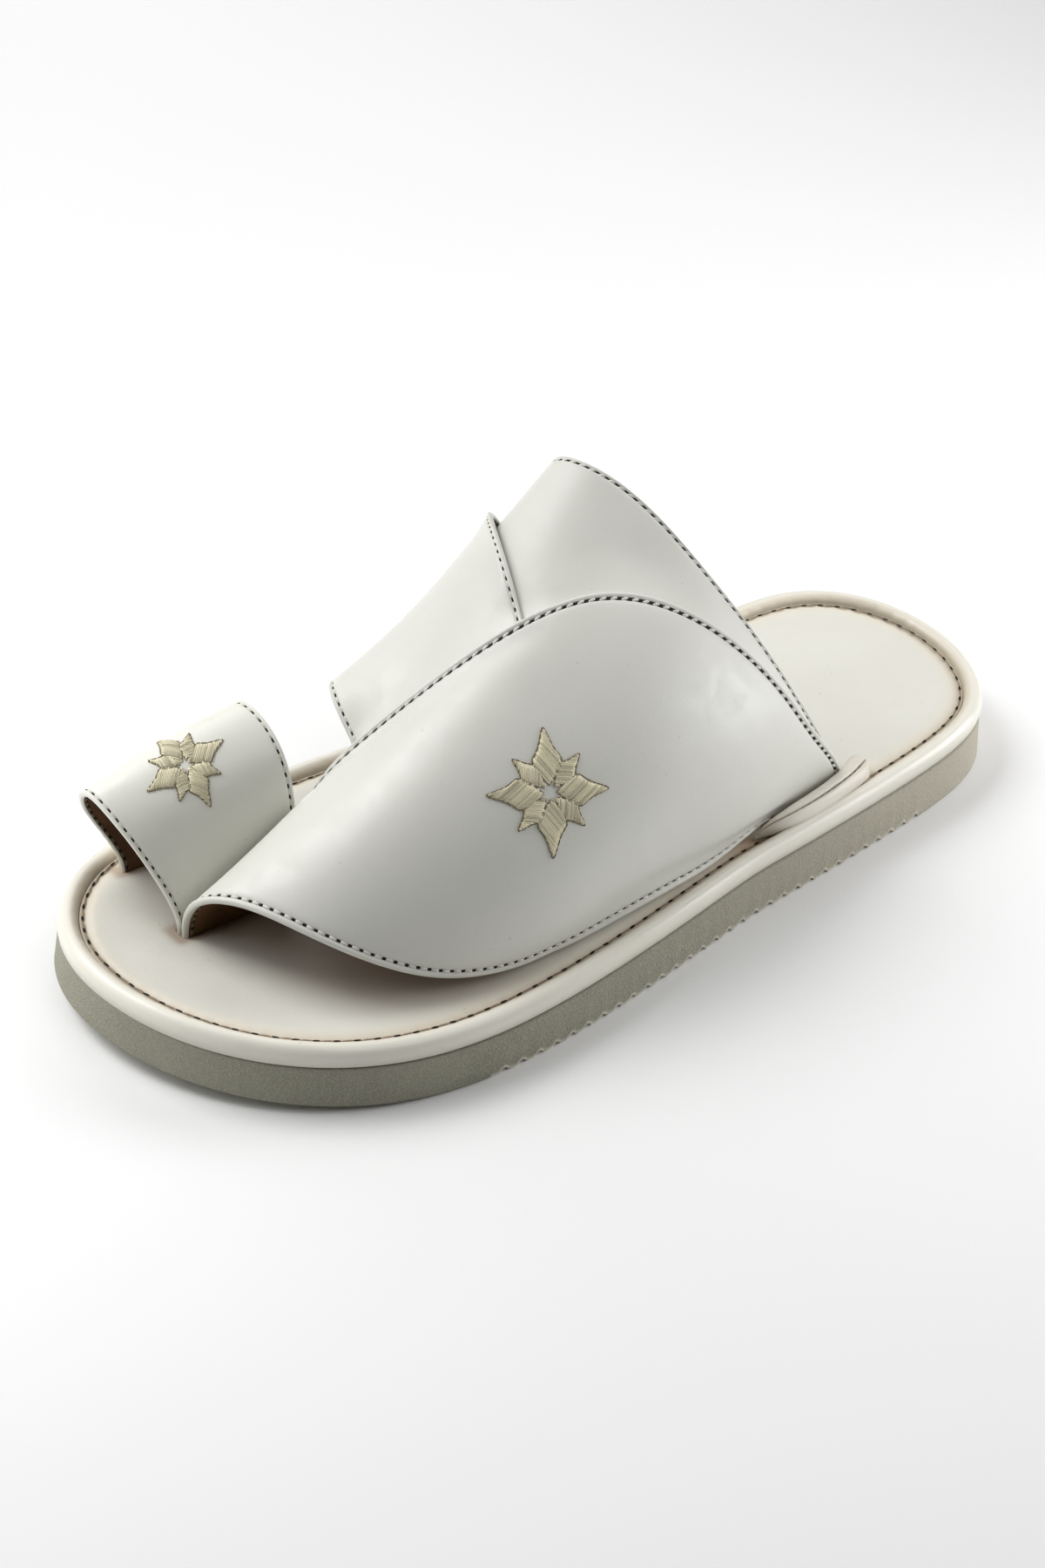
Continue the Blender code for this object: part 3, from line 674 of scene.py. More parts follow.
def thread(name, colour, shade, roughness=0.55):
    n = Nodes(name, roughness, 0.4)
    fibre = n.noise(4.0, 2.0, 0.6)
    base = n.mix(n.span(fibre, 0.3, 0.7), colour, shade)
    n.colour(n.mix(n.times(n.attribute("soil"), 0.85), base, tuple(0.56 * part for part in shade)))
    n.relief(fibre, 0.08, 0.7)
    return n.material


def hole_shadow_material():
    n = Nodes("needle_hole_shadows", 0.9, 0.1)
    n.colour(n.mix(n.noise(2.0), (0.035, 0.030, 0.024), (0.060, 0.052, 0.040)))
    return n.material


WHITE = leather("strap_leather_white", (0.735, 0.733, 0.680), (0.706, 0.706, 0.656), (0.36, 0.34, 0.28),
                (0.70, 0.66, 0.58), 0.38, 0.03)
# the same white leather made brighter for the ring: painted light on the ring
RING_WHITE_PAINTED_LIGHT = leather("ring_leather_white_painted_light", (0.840, 0.835, 0.770), (0.810, 0.805, 0.742),
                     (0.36, 0.34, 0.28), (0.76, 0.72, 0.63), 0.36, 0.03)
RIM = leather("rim_leather_cream", (0.875, 0.852, 0.768), (0.830, 0.804, 0.716), (0.37, 0.335, 0.265),
              (0.82, 0.73, 0.59), 0.33, 0.03, coat=0.25)
FOOTBED = leather("footbed_leather_cream", (0.815, 0.806, 0.740), (0.775, 0.764, 0.695),
                  (0.37, 0.235, 0.135), (0.80, 0.73, 0.60), 0.42, 0.04)
KEEPER = leather("keeper_leather_cream", (0.800, 0.765, 0.682), (0.760, 0.722, 0.634), (0.30, 0.25, 0.19),
                 (0.72, 0.64, 0.53), 0.34, 0.03)
LINING = lining_leather()
RUBBER = sole_rubber()
THREAD = thread("stitch_thread_white", (0.86, 0.85, 0.79), (0.62, 0.61, 0.56))
SUNK_THREAD = thread("stitch_thread_tan", (0.46, 0.38, 0.29), (0.30, 0.24, 0.18))
# the threads on the inside are darkened: painted shade inside the straps
INNER_THREAD = thread("stitch_thread_brown", (0.24, 0.18, 0.12), (0.16, 0.12, 0.08))
DARK_THREAD = thread("stitch_thread_dark", (0.10, 0.085, 0.065), (0.06, 0.05, 0.04))
HOLE_SHADOWS = hole_shadow_material()
GOLD = thread("embroidery_thread_khaki", (0.890, 0.835, 0.640), (0.820, 0.760, 0.560), 0.45)
OUTLINE_THREAD = thread("embroidery_outline_thread", (0.290, 0.245, 0.160), (0.210, 0.175, 0.115), 0.5)


# ---------------------------------------------------------------- sole

def in_ripples(along):
    return (along > RIPPLE_FROM) & (along < RIPPLE_TO)


def ripple(along):
    """How far the bottom edge is cut up by the grooves."""
    place = (along - RIPPLE_FROM) % RIPPLE_PITCH - RIPPLE_CENTRE
    groove = 0.5 + 0.5 * np.cos(2 * math.pi * place / RIPPLE_WIDTH)
    return RIPPLE_DEPTH * groove * (np.abs(place) < RIPPLE_WIDTH / 2) * in_ripples(along)


def make_outsole():
    """Rubber sole whose bottom edge is cut into ripples, with stations closer together at both ends."""
    ends = (LINE + OUTWARD * OUTSOLE_REACH)[:, 0]
    heel, toe, length = ends.min(), ends.max(), np.ptp(ends)
    first, last = RIPPLE_FROM - 1.0, RIPPLE_TO + 1.0
    heel_turns = np.linspace(0, math.acos(1 - 2 * (first - heel) / length), 60, endpoint=False)
    toe_turns = np.linspace(math.acos(1 - 2 * (toe - last) / length), 0, 60)
    along = np.concatenate([
        heel + length * (1 - np.cos(heel_turns)) / 2,
        np.arange(first, last, 0.5),
        toe - length * (1 - np.cos(toe_turns)) / 2,
    ])
    shares = (along - heel) / length
    rings = []
    for offset, share in OUTSOLE_WALL:
        line = (LINE + OUTWARD * offset)[:, 0]
        x = line.min() + np.ptp(line) * shares
        outer, inner = width_at(offset, x)
        for end in (0, -1):
            outer[end] = inner[end] = (outer[end] + inner[end]) / 2
        lift = ripple(x) + spring(x)
        z = lift + (level(OUTSOLE_TOP, x) - lift) * share
        rings += [np.stack([x, outer, z], axis=1), np.stack([x, inner, z], axis=1)[-2:0:-1]]
    points = np.concatenate(rings)
    around = len(points) // len(OUTSOLE_WALL)
    faces = wall_faces(len(OUTSOLE_WALL), around) + flipped(cap_faces(range(around)))
    faces += cap_faces(range(len(points) - around, len(points)))
    x, z = points[:, 0], points[:, 2]
    # real wear, and a painted highlight along the rippled bottom edge
    wear = 0.8 * smooth((1.3 - (z - spring(x) - ripple(x))) / 0.8) * in_ripples(x)
    # heel: the mask of the painted light toward the heel
    piece("outsole_rubber", points, faces, RUBBER, "outsole_rubber", ("outsole",),
          wear=wear, heel=smooth((190.0 - x) / 180.0))


def pucker(run, pitch, sharp=3.0):
    """0 between the stitches, 1 where they go down."""
    return (0.5 + 0.5 * np.cos(2 * math.pi * run / pitch)) ** sharp


def tuck_soil(x, y):
    # painted shade where the lateral keeper runs out under the vamp, on the rim and the footbed
    return 0.9 * bell(patch_distance(x, y, TUCK_SHADE_PATCH), 1.0)


def patch_distance(x, y, patch):
    """Distance from a patch's middle, 1 at its rim."""
    along, side, half_along, half_across = patch
    return np.hypot((x - along) / half_along, (y - side) / half_across)


def make_rim():
    """Leather-wrapped platform with its rolled, padded rim, puckered by the stitches and at both ends."""
    line, out, run = sole_frame(RIM_HALF)
    rows = np.array(RIM_PROFILE)
    knots = run_along(rows)
    profile = spline(knots / knots[-1], rows)(np.linspace(0, 1, 34))
    base = level(STITCH_LEVEL, line[:, 0])
    bottom = level(OUTSOLE_TOP, line[:, 0]) + GAP
    phases = np.random.RandomState(7).uniform(0, 2 * math.pi, 6)
    wave = sum(np.sin(run / wide + phase) for wide, phase in zip(RIM_WAVES, phases)) / 4
    bend = bell(line[:, 0] - 262, 22) + 0.7 * bell(line[:, 0] - 14, 18)
    pull = pucker(run, SOLE_STITCH_PITCH)
    points = np.zeros((len(line), len(profile), 3))
    soil = np.zeros(points.shape[:2])
    warm = np.zeros(points.shape[:2])
    for j, (offset, rise) in enumerate(profile):
        top = bell(offset - 4.0, 2.0) * (rise > -1.5)
        inner = bell(offset - 1.5, 0.8) * (rise > -1.6)
        side = bell(rise + 1.5, 1.6) * (offset > 5)
        reach = offset + side * wave * (0.04 + 0.08 * bend)
        z = base + rise + top * wave * (0.05 + 0.12 * bend) - inner * pull * 0.22
        if rise < -3 and offset > 4:
            z = np.maximum(z, bottom)
        points[:, j, :2] = line + out * reach[:, None]
        points[:, j, 2] = z if j else bottom
        # darker down the inner wall into the stitch groove; darker down the outer side toward the sole:
        # painted shade, with some dirt
        soil[:, j] = 0.55 * smooth((2.0 - offset) / 1.2) + 0.52 * smooth((0.2 - rise) / 4.4) * (offset > 4)
        warm[:, j] = 0.75 * bell(offset - 1.6, 1.3) * (rise > -1.5 and offset < 5)
    soil += tuck_soil(points[:, :, 0], points[:, :, 1])
    columns = len(profile)
    faces = loft_faces(len(line), columns) + cap_faces(range(0, soil.size, columns))
    faces += flipped(cap_faces(range(columns - 1, soil.size, columns)))
    item = piece("platform_wrap", points.reshape(-1, 3), faces, RIM, "rim_leather", ("midsole",),
                 soil=np.minimum(soil, 1.0), warm=warm)


def slot_frames():
    """For each slot its name, start, end, way ahead and to the side, and width."""
    for name, x0, y0, x1, y1, width in SLOTS:
        start, end = np.array([x0, y0]), np.array([x1, y1])
        ahead = unit(end - start)
        yield name, start, end, ahead, np.array([-ahead[1], ahead[0]]), width


def slot_cutters():
    cutters = []
    for name, start, end, ahead, side, width in slot_frames():
        one, two = start + ahead * SLOT_TRIM, end - ahead * SLOT_TRIM
        half = side * (width - SLOT_TRIM) / 2
        plan = [one - half, two - half, two + half, one + half]
        cutters.append(box_cutter(f"slot_{name}", plan, 5.0, 30.0))
    return cutters


def slot_press(spots):
    """How far the leather is drawn down beside the slots."""
    drop = 0.0
    for _, start, end, ahead, side, width in slot_frames():
        beyond = np.maximum(np.maximum(-(spots - start) @ ahead, (spots - end) @ ahead), 0)
        beside = np.maximum(np.abs((spots - start) @ side) - width / 2, 0)
        drop = drop + 0.45 * bell(np.hypot(beside, beyond), 1.6)
    return drop


def footbed_height(spots):
    """Dished surface of the footbed, drawn down beside the slots."""
    x, y = spots[..., 0], spots[..., 1]
    outer, inner = width_at(FOOTBED_EDGE, x)
    wide = np.maximum(outer - inner, 1e-3)
    share = np.clip((y - inner) / wide, 0, 1)
    dish = DISH * np.minimum(1.0, wide / 40.0) * np.maximum(1 - (2 * share - 1) ** 2, 0) ** 0.7
    return level(STITCH_LEVEL, x) - dish - slot_press(spots)


def footbed_top(half=FOOTBED_HALF, columns=FOOTBED_COLUMNS):
    """Points and faces of the footbed's upper side: a band around its edge, then ribs across."""
    line, out, run = sole_frame(half)
    steps = len(FOOTBED_STEPS)
    pull = pucker(run, SOLE_STITCH_PITCH, 2.0)
    band = np.zeros((len(line), steps, 3))
    for j, offset in enumerate(FOOTBED_STEPS):
        spots = line + out * offset
        groove = GROOVE_DEPTH * (1 - smooth((0.1 - offset) / GROOVE_WIDTH))
        gather = 0.28 * pull * bell(offset + 0.4, 1.3)
        roll = 0.5 if offset > 0.8 else 0.0
        band[:, j] = np.column_stack([spots, footbed_height(spots) - groove - gather - roll])
    outer, inner = band[1:half, -1:, :2], band[:half:-1, -1:, :2]
    middle = outer + (inner - outer) * np.linspace(0, 1, columns + 1)[1:-1, None]
    middle = np.dstack([middle, footbed_height(middle)])
    last = np.arange(1, len(line) + 1) * steps - 1
    number = np.arange(band.size // 3, (band.size + middle.size) // 3).reshape(middle.shape[:2])
    ribs = np.column_stack([last[1:half], number, last[:half:-1]])
    faces = loft_faces(len(line), steps) + quads(ribs.T)
    faces += [(last[0], b, a) for a, b in zip(ribs[0], ribs[0, 1:])]
    faces += [(last[half], a, b) for a, b in zip(ribs[-1], ribs[-1, 1:])]
    return np.concatenate([band.reshape(-1, 3), middle.reshape(-1, 3)]), faces


def make_footbed():
    top, faces = footbed_top()
    under = top.copy()
    under[:, 2] = np.minimum(top[:, 2], level(STITCH_LEVEL, top[:, 0])) - FOOTBED_THICKNESS
    edge = np.arange(2 * FOOTBED_HALF) * len(FOOTBED_STEPS)
    item = solid("footbed", top, under, faces, edge, FOOTBED, "footbed_leather", ("insole",))
    cut(item, slot_cutters())
    points = np.zeros(len(item.data.vertices) * 3)
    item.data.vertices.foreach_get("co", points)
    spots = (points.reshape(-1, 3) / MM + CENTRE)[:, :2]
    gap = np.concatenate([
        np.sqrt(((some[:, None] - LINE[::4]) ** 2).sum(axis=2)).min(axis=1)
        for some in np.array_split(spots, 30)
    ])
    worn_and_shaded = patch_distance(*spots.T, WORN_AND_SHADED_PATCH)
    # darker along the stitch groove; beside the slots and in the patch under the vamp, painted shade with
    # some dirt and wear
    soil = 0.5 * bell(gap, 0.9) + 1.7 * slot_press(spots) + 0.75 * smooth((1.2 - worn_and_shaded) / 0.8)
    soil = np.minimum(soil + tuck_soil(*spots.T), 1.0)
    set_attributes(item, {"soil": soil, "warm": 0.7 * bell(gap, 3.4)})


def make_sole_stitches():
    """The seam around the footbed: light threads pulled down into holes, drawn as dark dishes of painted
    shadow.
    """
    whole = CLOSED_RUN[-1]
    count = int(round(whole / SOLE_STITCH_PITCH))

    def spots(shift):
        return at_run(CLOSED, CLOSED_RUN, (np.arange(count) * whole / count + shift) % whole)

    def seam(shift, rise):
        here = spots(shift)
        return np.column_stack([here, level(STITCH_LEVEL, here[:, 0]) - GROOVE_DEPTH + rise])[keep]

    x, y = spots(0.0).T
    flat = unit(spots(1.5) - spots(-1.5))
    slope = (level(STITCH_LEVEL, x + flat[:, 0]) - level(STITCH_LEVEL, x - flat[:, 0])) / 2
    ahead = np.column_stack([flat, slope])
    side = np.column_stack([-flat[:, 1], flat[:, 0], np.zeros(count)])
    up = np.tile([0.0, 0.0, 1.0], (count, 1))
    keep = ~((y > 0) & (x > COVERED_SEAM[0]) & (x < COVERED_SEAM[1]))
    axes = leaning(ahead, side, up, np.random.RandomState(11).normal(0, 0.05, count))[keep]
    # the holes' darkness is painted shadow
    scatter("sole_stitch_holes", lens_form(2.2, 0.68, 0.06, 0.2), seam(0.0, -0.14), axes, HOLE_SHADOWS)
    scatter("sole_stitches", thread_form(3.3, 0.42, 0.36, 0.06), seam(SOLE_STITCH_PITCH / 2, 0.05), axes,
            SUNK_THREAD)


# ---------------------------------------------------------------- straps

def strap_surface(rows, count, columns, first_leg=True):
    """Middle surface of a strap through its ribs, upright where it leaves a slot."""
    table = np.array(rows)
    rear, front, crown = table[:, :3], table[:, 3:6], table[:, 6:]
    knots = run_along((rear + front) / 2)
    knots /= knots[-1]
    up = np.array([0.0, 0.0, 1.0])

    def edge(points):
        pull = np.linalg.norm(np.diff(points, axis=0), axis=1) / np.diff(knots) * LEG_PULL
        return spline(knots, points, up * pull[0] if first_leg else None, -up * pull[-1])

    rear_edge, front_edge, bow = edge(rear), edge(front), spline(knots, crown, np.zeros(1), np.zeros(1))
    places = np.linspace(0, 1, count)
    shares = np.linspace(0, 1, columns)[:, None]
    back, fore = rear_edge(places), front_edge(places)
    near, far = np.clip(places - 0.002, 0, 1), np.clip(places + 0.002, 0, 1)
    ahead = rear_edge(far) + front_edge(far) - rear_edge(near) - front_edge(near)
    outward = unit(np.cross(ahead, fore - back))
    chord = back[:, None] * (1 - shares) + fore[:, None] * shares
    return chord + outward[:, None] * (4 * shares * (1 - shares)) * bow(places)[:, :, None]


def press_under(middle, cover, depth, fade, only_above=False):
    """Move a strap to lie the given depth under a covering strap, fading out beyond its edge."""
    cover_normals = normals_of(cover).reshape(-1, 3)
    cover = cover.reshape(-1, 3)
    wanted = -np.broadcast_to(depth, middle.shape[:2])
    moved = middle.copy()
    for index in np.ndindex(wanted.shape):
        point = middle[index]
        nearest = int(np.argmin(((cover - point) ** 2).sum(axis=1)))
        normal = cover_normals[nearest]
        height = float(np.dot(point - cover[nearest], normal))
        if abs(height - wanted[index]) > PRESS_REACH or only_above and height <= wanted[index]:
            continue
        beyond = np.linalg.norm(point - cover[nearest] - height * normal)
        moved[index] += normal * (wanted[index] - height) * smooth(1 - beyond / fade)
    return moved


def strap_grids():
    """Middle surfaces of the four straps, pressed together where they cross, as in the CAD part."""
    lap = STRAP_THICKNESS - CROSSING_LAP
    cover = strap_surface(VAMP_ROWS, 161, 49)
    medial, medial_cover = (
        press_under(strap_surface(MEDIAL_ROWS, count, columns, first_leg=False), cover, lap, 16.0)
        for count, columns in ((24, 8), (97, 33))
    )
    instep = strap_surface(INSTEP_ROWS, 34, 8)
    depth = np.full(instep.shape[:2], lap)
    dip = (instep[:, -1, 0] - FRONT_DIP_FROM) / (FRONT_DIP_FULL - FRONT_DIP_FROM)
    depth[:, -1] += FRONT_DIP * np.clip(dip, 0.0, 1.0)
    instep = press_under(instep, cover, depth, 22.0)
    return {
        "vamp": strap_surface(VAMP_ROWS, 60, 18),
        "instep": press_under(instep, medial_cover, depth, 10.0, only_above=True),
        "medial": medial,
        "ring": strap_surface(RING_ROWS, 30, 8),
    }


class Strap:
    """A strap's middle surface at any place, given as shares of its path and of its width."""

    def __init__(self, name, grid, first_leg):
        self.name = name
        feet = grid[[0, -1]]
        feet[..., 2] = level(OUTSOLE_TOP, feet[..., 0]) + GAP
        grid = np.concatenate([feet[:1], grid, feet[1:]] if first_leg else [grid, feet[1:]])
        run = run_along(grid.mean(axis=1))
        self.length = run[-1]
        self.along = spline(run / run[-1], grid)
        self.columns = np.linspace(0, 1, grid.shape[1])

    def grid(self, places, shares):
        """Points for each place along and each row of shares across (or one row for all)."""
        rib = spline(self.columns, np.moveaxis(self.along(places), 1, 0))
        each = np.arange(len(places))
        shares = np.broadcast_to(shares, (len(places), np.shape(shares)[-1]))
        return np.stack([rib(column)[each, each] for column in shares.T], axis=1)

    def width(self, places):
        return np.linalg.norm(np.diff(self.along(places), axis=1), axis=2).sum(axis=1)

    def layer(self, spacing, near, interior):
        """Middle points of a layer, their normals, distances in from the edges and listed shape."""
        places = np.linspace(0, 1, int(self.length / spacing))
        widths = self.width(places)
        inward, gaps = np.moveaxis([across(near, wide, interior) for wide in widths], 1, 0)
        shares = inward / widths[:, None]
        middle = self.grid(places, shares)
        return middle, normals_of(middle), gaps, strap_shape(self.name, places, shares, widths, middle)


def strap_shape(name, places, shares, widths, points):
    """Listed creases and lifted edges, over the middle surface."""
    rise = np.zeros(points.shape[:2])
    for owner, start, end, depth, reach in CREASES:
        if owner == name:
            a, b = np.array(start), np.array(end)
            t = np.clip(((points - a) @ (b - a)) / ((b - a) @ (b - a)), 0, 1)
            gap = np.linalg.norm(points - (a + t[..., None] * (b - a)), axis=-1)
            rise += depth * bell(gap, reach) * np.sin(math.pi * np.clip(t, 0.02, 0.98)) ** 0.6
    for owner, edge, start, end, lift, trough in EDGE_FLARES:
        if owner == name:
            inward = (shares if edge == "rear" else 1 - shares) * widths[:, None]
            fade = np.sin(math.pi * np.clip((places - start) / (end - start), 0, 1)) ** 0.7
            lifted = lift * np.exp(-(np.maximum(inward, 0) / 3.0) ** 1.3)
            rise += fade[:, None] * (lifted - trough * bell(inward - 7.0, 4.0))
    return rise


def make_strap(name, grid, interior, spacing, replaced=()):
    """One strap: outside leather folded in over its edges, lining and seams."""
    strap = Strap(name, grid, first_leg=name != "medial")
    narrow = STRAP_EDGES[name][0]
    inward, outside = np.array(EDGE_PROFILE).T
    middle, normal, gaps, shape = strap.layer(spacing, inward * narrow, interior)
    gaps /= narrow
    heights = np.interp(gaps, inward, outside)
    # the stitch line's own run sets where the leather is drawn down
    for seam in (STITCH_COLUMN, heights.shape[1] - 1 - STITCH_COLUMN):
        pull = pucker(run_along(middle[:, seam]), EDGE_STITCH_PITCH, 1.5)
        for j in range(seam - 2, seam + 3):
            heights[:, j] -= 0.16 * pull * bell(j - seam, 1.3)
    heights += shape
    fold = np.interp(gaps, *np.array(FOLD_PROFILE).T) + shape
    top, bottom = middle + normal * heights[:, :, None], middle + normal * fold[:, :, None]
    # painted shade along the stitch groove, and painted shade with some dirt at the feet, where the strap
    # goes down into its slot
    foot = smooth((2.6 - middle[:, :, 2] + level(STITCH_LEVEL, middle[:, :, 0])) / 3.2)
    soil = np.minimum(0.45 * bell(gaps - EDGE_STITCH_IN, 0.45) + foot, 1.0)
    shell(f"strap_{name}", top, bottom, RING_WHITE_PAINTED_LIGHT if name == "ring" else WHITE, "strap_leather", replaced,
          soil=np.stack([soil, 0 * soil]))
    make_lining(strap, narrow)
    make_edge_stitches(name, middle, normal, heights, shape - INSIDE_DEPTH)
    return strap


def make_lining(strap, narrow):
    """Tan lining glued inside the strap, within the folded edges."""
    near = np.array(LINING_STEPS) * narrow
    middle, normal, gaps, shape = strap.layer(LINING_SPACING, near, 18)
    fall = np.interp(gaps - near[0], *np.array(LINING_PROFILE).T)
    top = middle + normal * (shape - 0.2)[:, :, None]
    bottom = middle + normal * (shape + fall)[:, :, None]
    shell(f"lining_{strap.name}", top, bottom, LINING, "lining_leather")


def seam_axes(line, run, at, up, near, far):
    """Ways ahead, to the side and up for stitches at the distances run along a line."""
    ahead = unit(at_run(line, run, at + far) - at_run(line, run, at + near))
    up = unit(up - ahead * (up * ahead).sum(axis=1)[:, None])
    return ahead, np.cross(up, ahead), up


def make_edge_stitches(name, middle, normal, heights, depths):
    """Stitches along both edges, outside and inside: threads between needle holes drawn as dark dishes of
    painted shadow.
    """
    seams = zip(("rear", "front"), STRAP_EDGES[name][1:], (STITCH_COLUMN, -1 - STITCH_COLUMN), (1, -1))
    for end, form, column, toward in seams:
        length, width, height, bow, hole_length, hole_width, lean, hole_lean = STITCH_FORMS[form]
        run = run_along(middle[:, column])
        count = int(run[-1] / EDGE_STITCH_PITCH)
        threads, holes = [], []
        for face, rise in ((1, heights), (-1, depths)):
            line = middle[:, column] + normal[:, column] * rise[:, column, None]
            for kind, shift, turn in ((holes, 0.0, hole_lean), (threads, 0.5, lean)):
                at = (np.arange(count) + shift) * EDGE_STITCH_PITCH
                here = at_run(line, run, at)
                above = here[:, 2] > level(STITCH_LEVEL, here[:, 0]) + 0.3
                axes = seam_axes(line, run, at, at_run(normal[:, column], run, at) * face, -0.4, 0.4)
                kind.append((here[above], leaning(*axes, turn * toward)[above]))
        stitch = thread_form(length, width, height, bow)
        hole = lens_form(hole_length, hole_width, 0.05, 0.32 if hole_width > 1.1 else 0.22)
        for what, copied, rows, material in (
            ("stitches", stitch, threads[:1], THREAD),
            ("inner_stitches", stitch, threads[1:], INNER_THREAD),
            ("holes", hole, holes, HOLE_SHADOWS),
        ):
            scatter(f"{what}_{name}_{end}", copied, *map(np.concatenate, zip(*rows)), material)


# ---------------------------------------------------------------- keepers

def rim_height(offset):
    """Top of the rim over the stitches' level at an offset from them."""
    offsets, rises = np.array([row for row in reversed(RIM_PROFILE) if row[1] > -1.0]).T
    return np.interp(offset, offsets, rises, left=0.0)


def make_lateral_keeper():
    """Crescent lip in two layers, sewn together along a dark seam, around the lateral slot."""
    table = np.array(LATERAL_KEEPER)
    start, end = table[[0, -1], 0]
    along = start + (end - start) * (1 - np.cos(np.linspace(0, math.pi, 110))) / 2
    rows = spline(table[:, 0], table[:, 1:])(along)
    rear = np.clip((start + KEEPER_ROUND - along) / KEEPER_ROUND, 0, 1)
    fore = np.clip((along - end + KEEPER_TAPER) / KEEPER_TAPER, 0, 1)
    full = (np.sqrt(1 - 0.99 * rear ** 2) * (1 - 0.85 * fore ** 2.5))[:, None]
    centre = (rows[:, :1] + rows[:, 2:3]) / 2
    inner, seam, outer = (centre + (rows[:, :3] - centre) * full).T[:, :, None]
    last = len(LIP_SECTION) - 1
    way, share = spline(np.arange(last + 1), LIP_SECTION)(np.linspace(0, last, 44)).T
    over = np.where(way < 1, inner + (seam - inner) * way, seam + (outer - seam) * (way - 1))
    under = outer + (inner - outer) * np.arange(7) / 6
    seat = GAP + np.maximum(rim_height(under - width_at(0.0, along)[0][:, None]), 0.0)
    height = rows[:, 3:] * (0.35 + 0.65 * full ** 0.6) * share
    side = np.hstack([under[:, -1:], over, under[:, :-1]])
    rise = np.hstack([seat[:, -1:], height, seat[:, :-1]])
    grid = np.stack([along[:, None] + 0 * side, side, level(STITCH_LEVEL, along)[:, None] + rise], axis=2)
    columns = side.shape[1]
    faces = [(a, d, c, b) for a, b, c, d in wall_faces(len(along), columns)]
    faces += [range(columns), range(side.size - 1, side.size - columns - 1, -1)]
    # painted shade toward the front end, where the keeper runs under the vamp; the dark seam line is the
    # seam's own colour
    soil = 0.8 * smooth((along - 100.0) / 13.0)[:, None] + np.zeros(side.shape)
    soil[:, 1:len(way) + 1] += 0.9 * bell(way - 1.0, 0.07)
    piece("lateral_keeper", grid.reshape(-1, 3), faces, KEEPER, "keeper_leather", ("keeper_lateral",),
          soil=np.minimum(soil, 1.0))
    line = grid[:, int(np.argmin(np.abs(way - 1.0))) + 1] + [0.0, 0.0, 0.12]
    sew(line[(line[:, 0] > 70.0) & (line[:, 0] < 115.0)], 2.6, "keeper_lateral", 1.9, 0.42)


def sew(line, pitch, name, length, width):
    """A row of dark stitches along a line of points, lying flat."""
    run = run_along(line)
    at = np.arange(pitch / 2, run[-1] - pitch / 2, pitch)
    axes = np.stack(seam_axes(line, run, at, np.array([0.0, 0.0, 1.0]), 0.0, 0.3), axis=1)
    form = thread_form(length, width, width * 0.8, 0.08, 5, 6)
    scatter(f"stitches_{name}", form, at_run(line, run, at), axes, DARK_THREAD)


def make_medial_keeper():
    """D-shaped ear with a slot; its arc has a bead and a line of stitches."""
    profile = np.array(EAR_PROFILE)
    reach = run_along(profile)
    curve = spline(reach / reach[-1], profile)
    steps = np.array(EAR_STEPS)
    middle, gaps = [], []
    for turn in np.linspace(0, math.pi, 121):
        along = EAR_FROM + (EAR_TO - EAR_FROM) * (1 - math.cos(turn)) / 2
        wide = (0.12 + 0.88 * math.sin(turn) ** 0.75) * reach[-1]
        places, gap = across(steps * min(1.0, wide / 2.4 / steps[-1]), wide, 24)
        offset, rise = curve(places / reach[-1]).T
        side, base = width_at(0.0, along)[1], level(STITCH_LEVEL, along)
        middle.append(np.stack([np.full(len(places), along), side - offset, base + rise], axis=1))
        gaps.append(gap)
    middle, gaps = np.array(middle), np.array(gaps)
    beaded = np.arange(gaps.shape[1]) > gaps.shape[1] / 2
    thick = np.where(beaded, np.interp(gaps, steps, EAR_BEAD), np.interp(gaps, steps, EAR_PLAIN))
    faces = [middle + way * normals_of(middle) * thick[:, :, None] for way in (1, -1)]
    item = shell("medial_keeper", *faces, KEEPER, "keeper_leather", ("keeper_medial",))
    start, end, close, far = EAR_SLOT
    corners = ((start, far), (end, far), (end, close), (start, close))
    plan = [(along, width_at(0.0, along)[1] - offset) for along, offset in corners]
    cut(item, [box_cutter("slot_ear", plan, 15.0, 40.0)])
    for side, face in zip(("above", "below"), faces):
        sew(face[6:-6, -7], 3.0, f"keeper_medial_{side}", 1.7, 0.5)


# ---------------------------------------------------------------- embroidery

def kite(turn, reach, waist, half):
    """Outline of one point of the star, its long sides bowed a little."""
    rise, fall = np.linspace(0, 1, 9)[:-1], np.linspace(0, 1, 13)
    x = np.concatenate([STAR_HOLLOW + (waist - STAR_HOLLOW) * rise, waist + (reach - waist) * fall])
    bow = (1 - fall) ** 0.9 * (1 - 0.25 * np.sin(math.pi * fall))
    y = half * np.concatenate([np.sin(math.pi / 2 * rise) ** 1.2, bow])
    x, y = np.concatenate([x, x[-2:0:-1]]), np.concatenate([y, -y[-2:0:-1]])
    cos, sin = math.cos(math.radians(turn)), math.sin(math.radians(turn))
    return np.stack([x * cos - y * sin, x * sin + y * cos], axis=1)


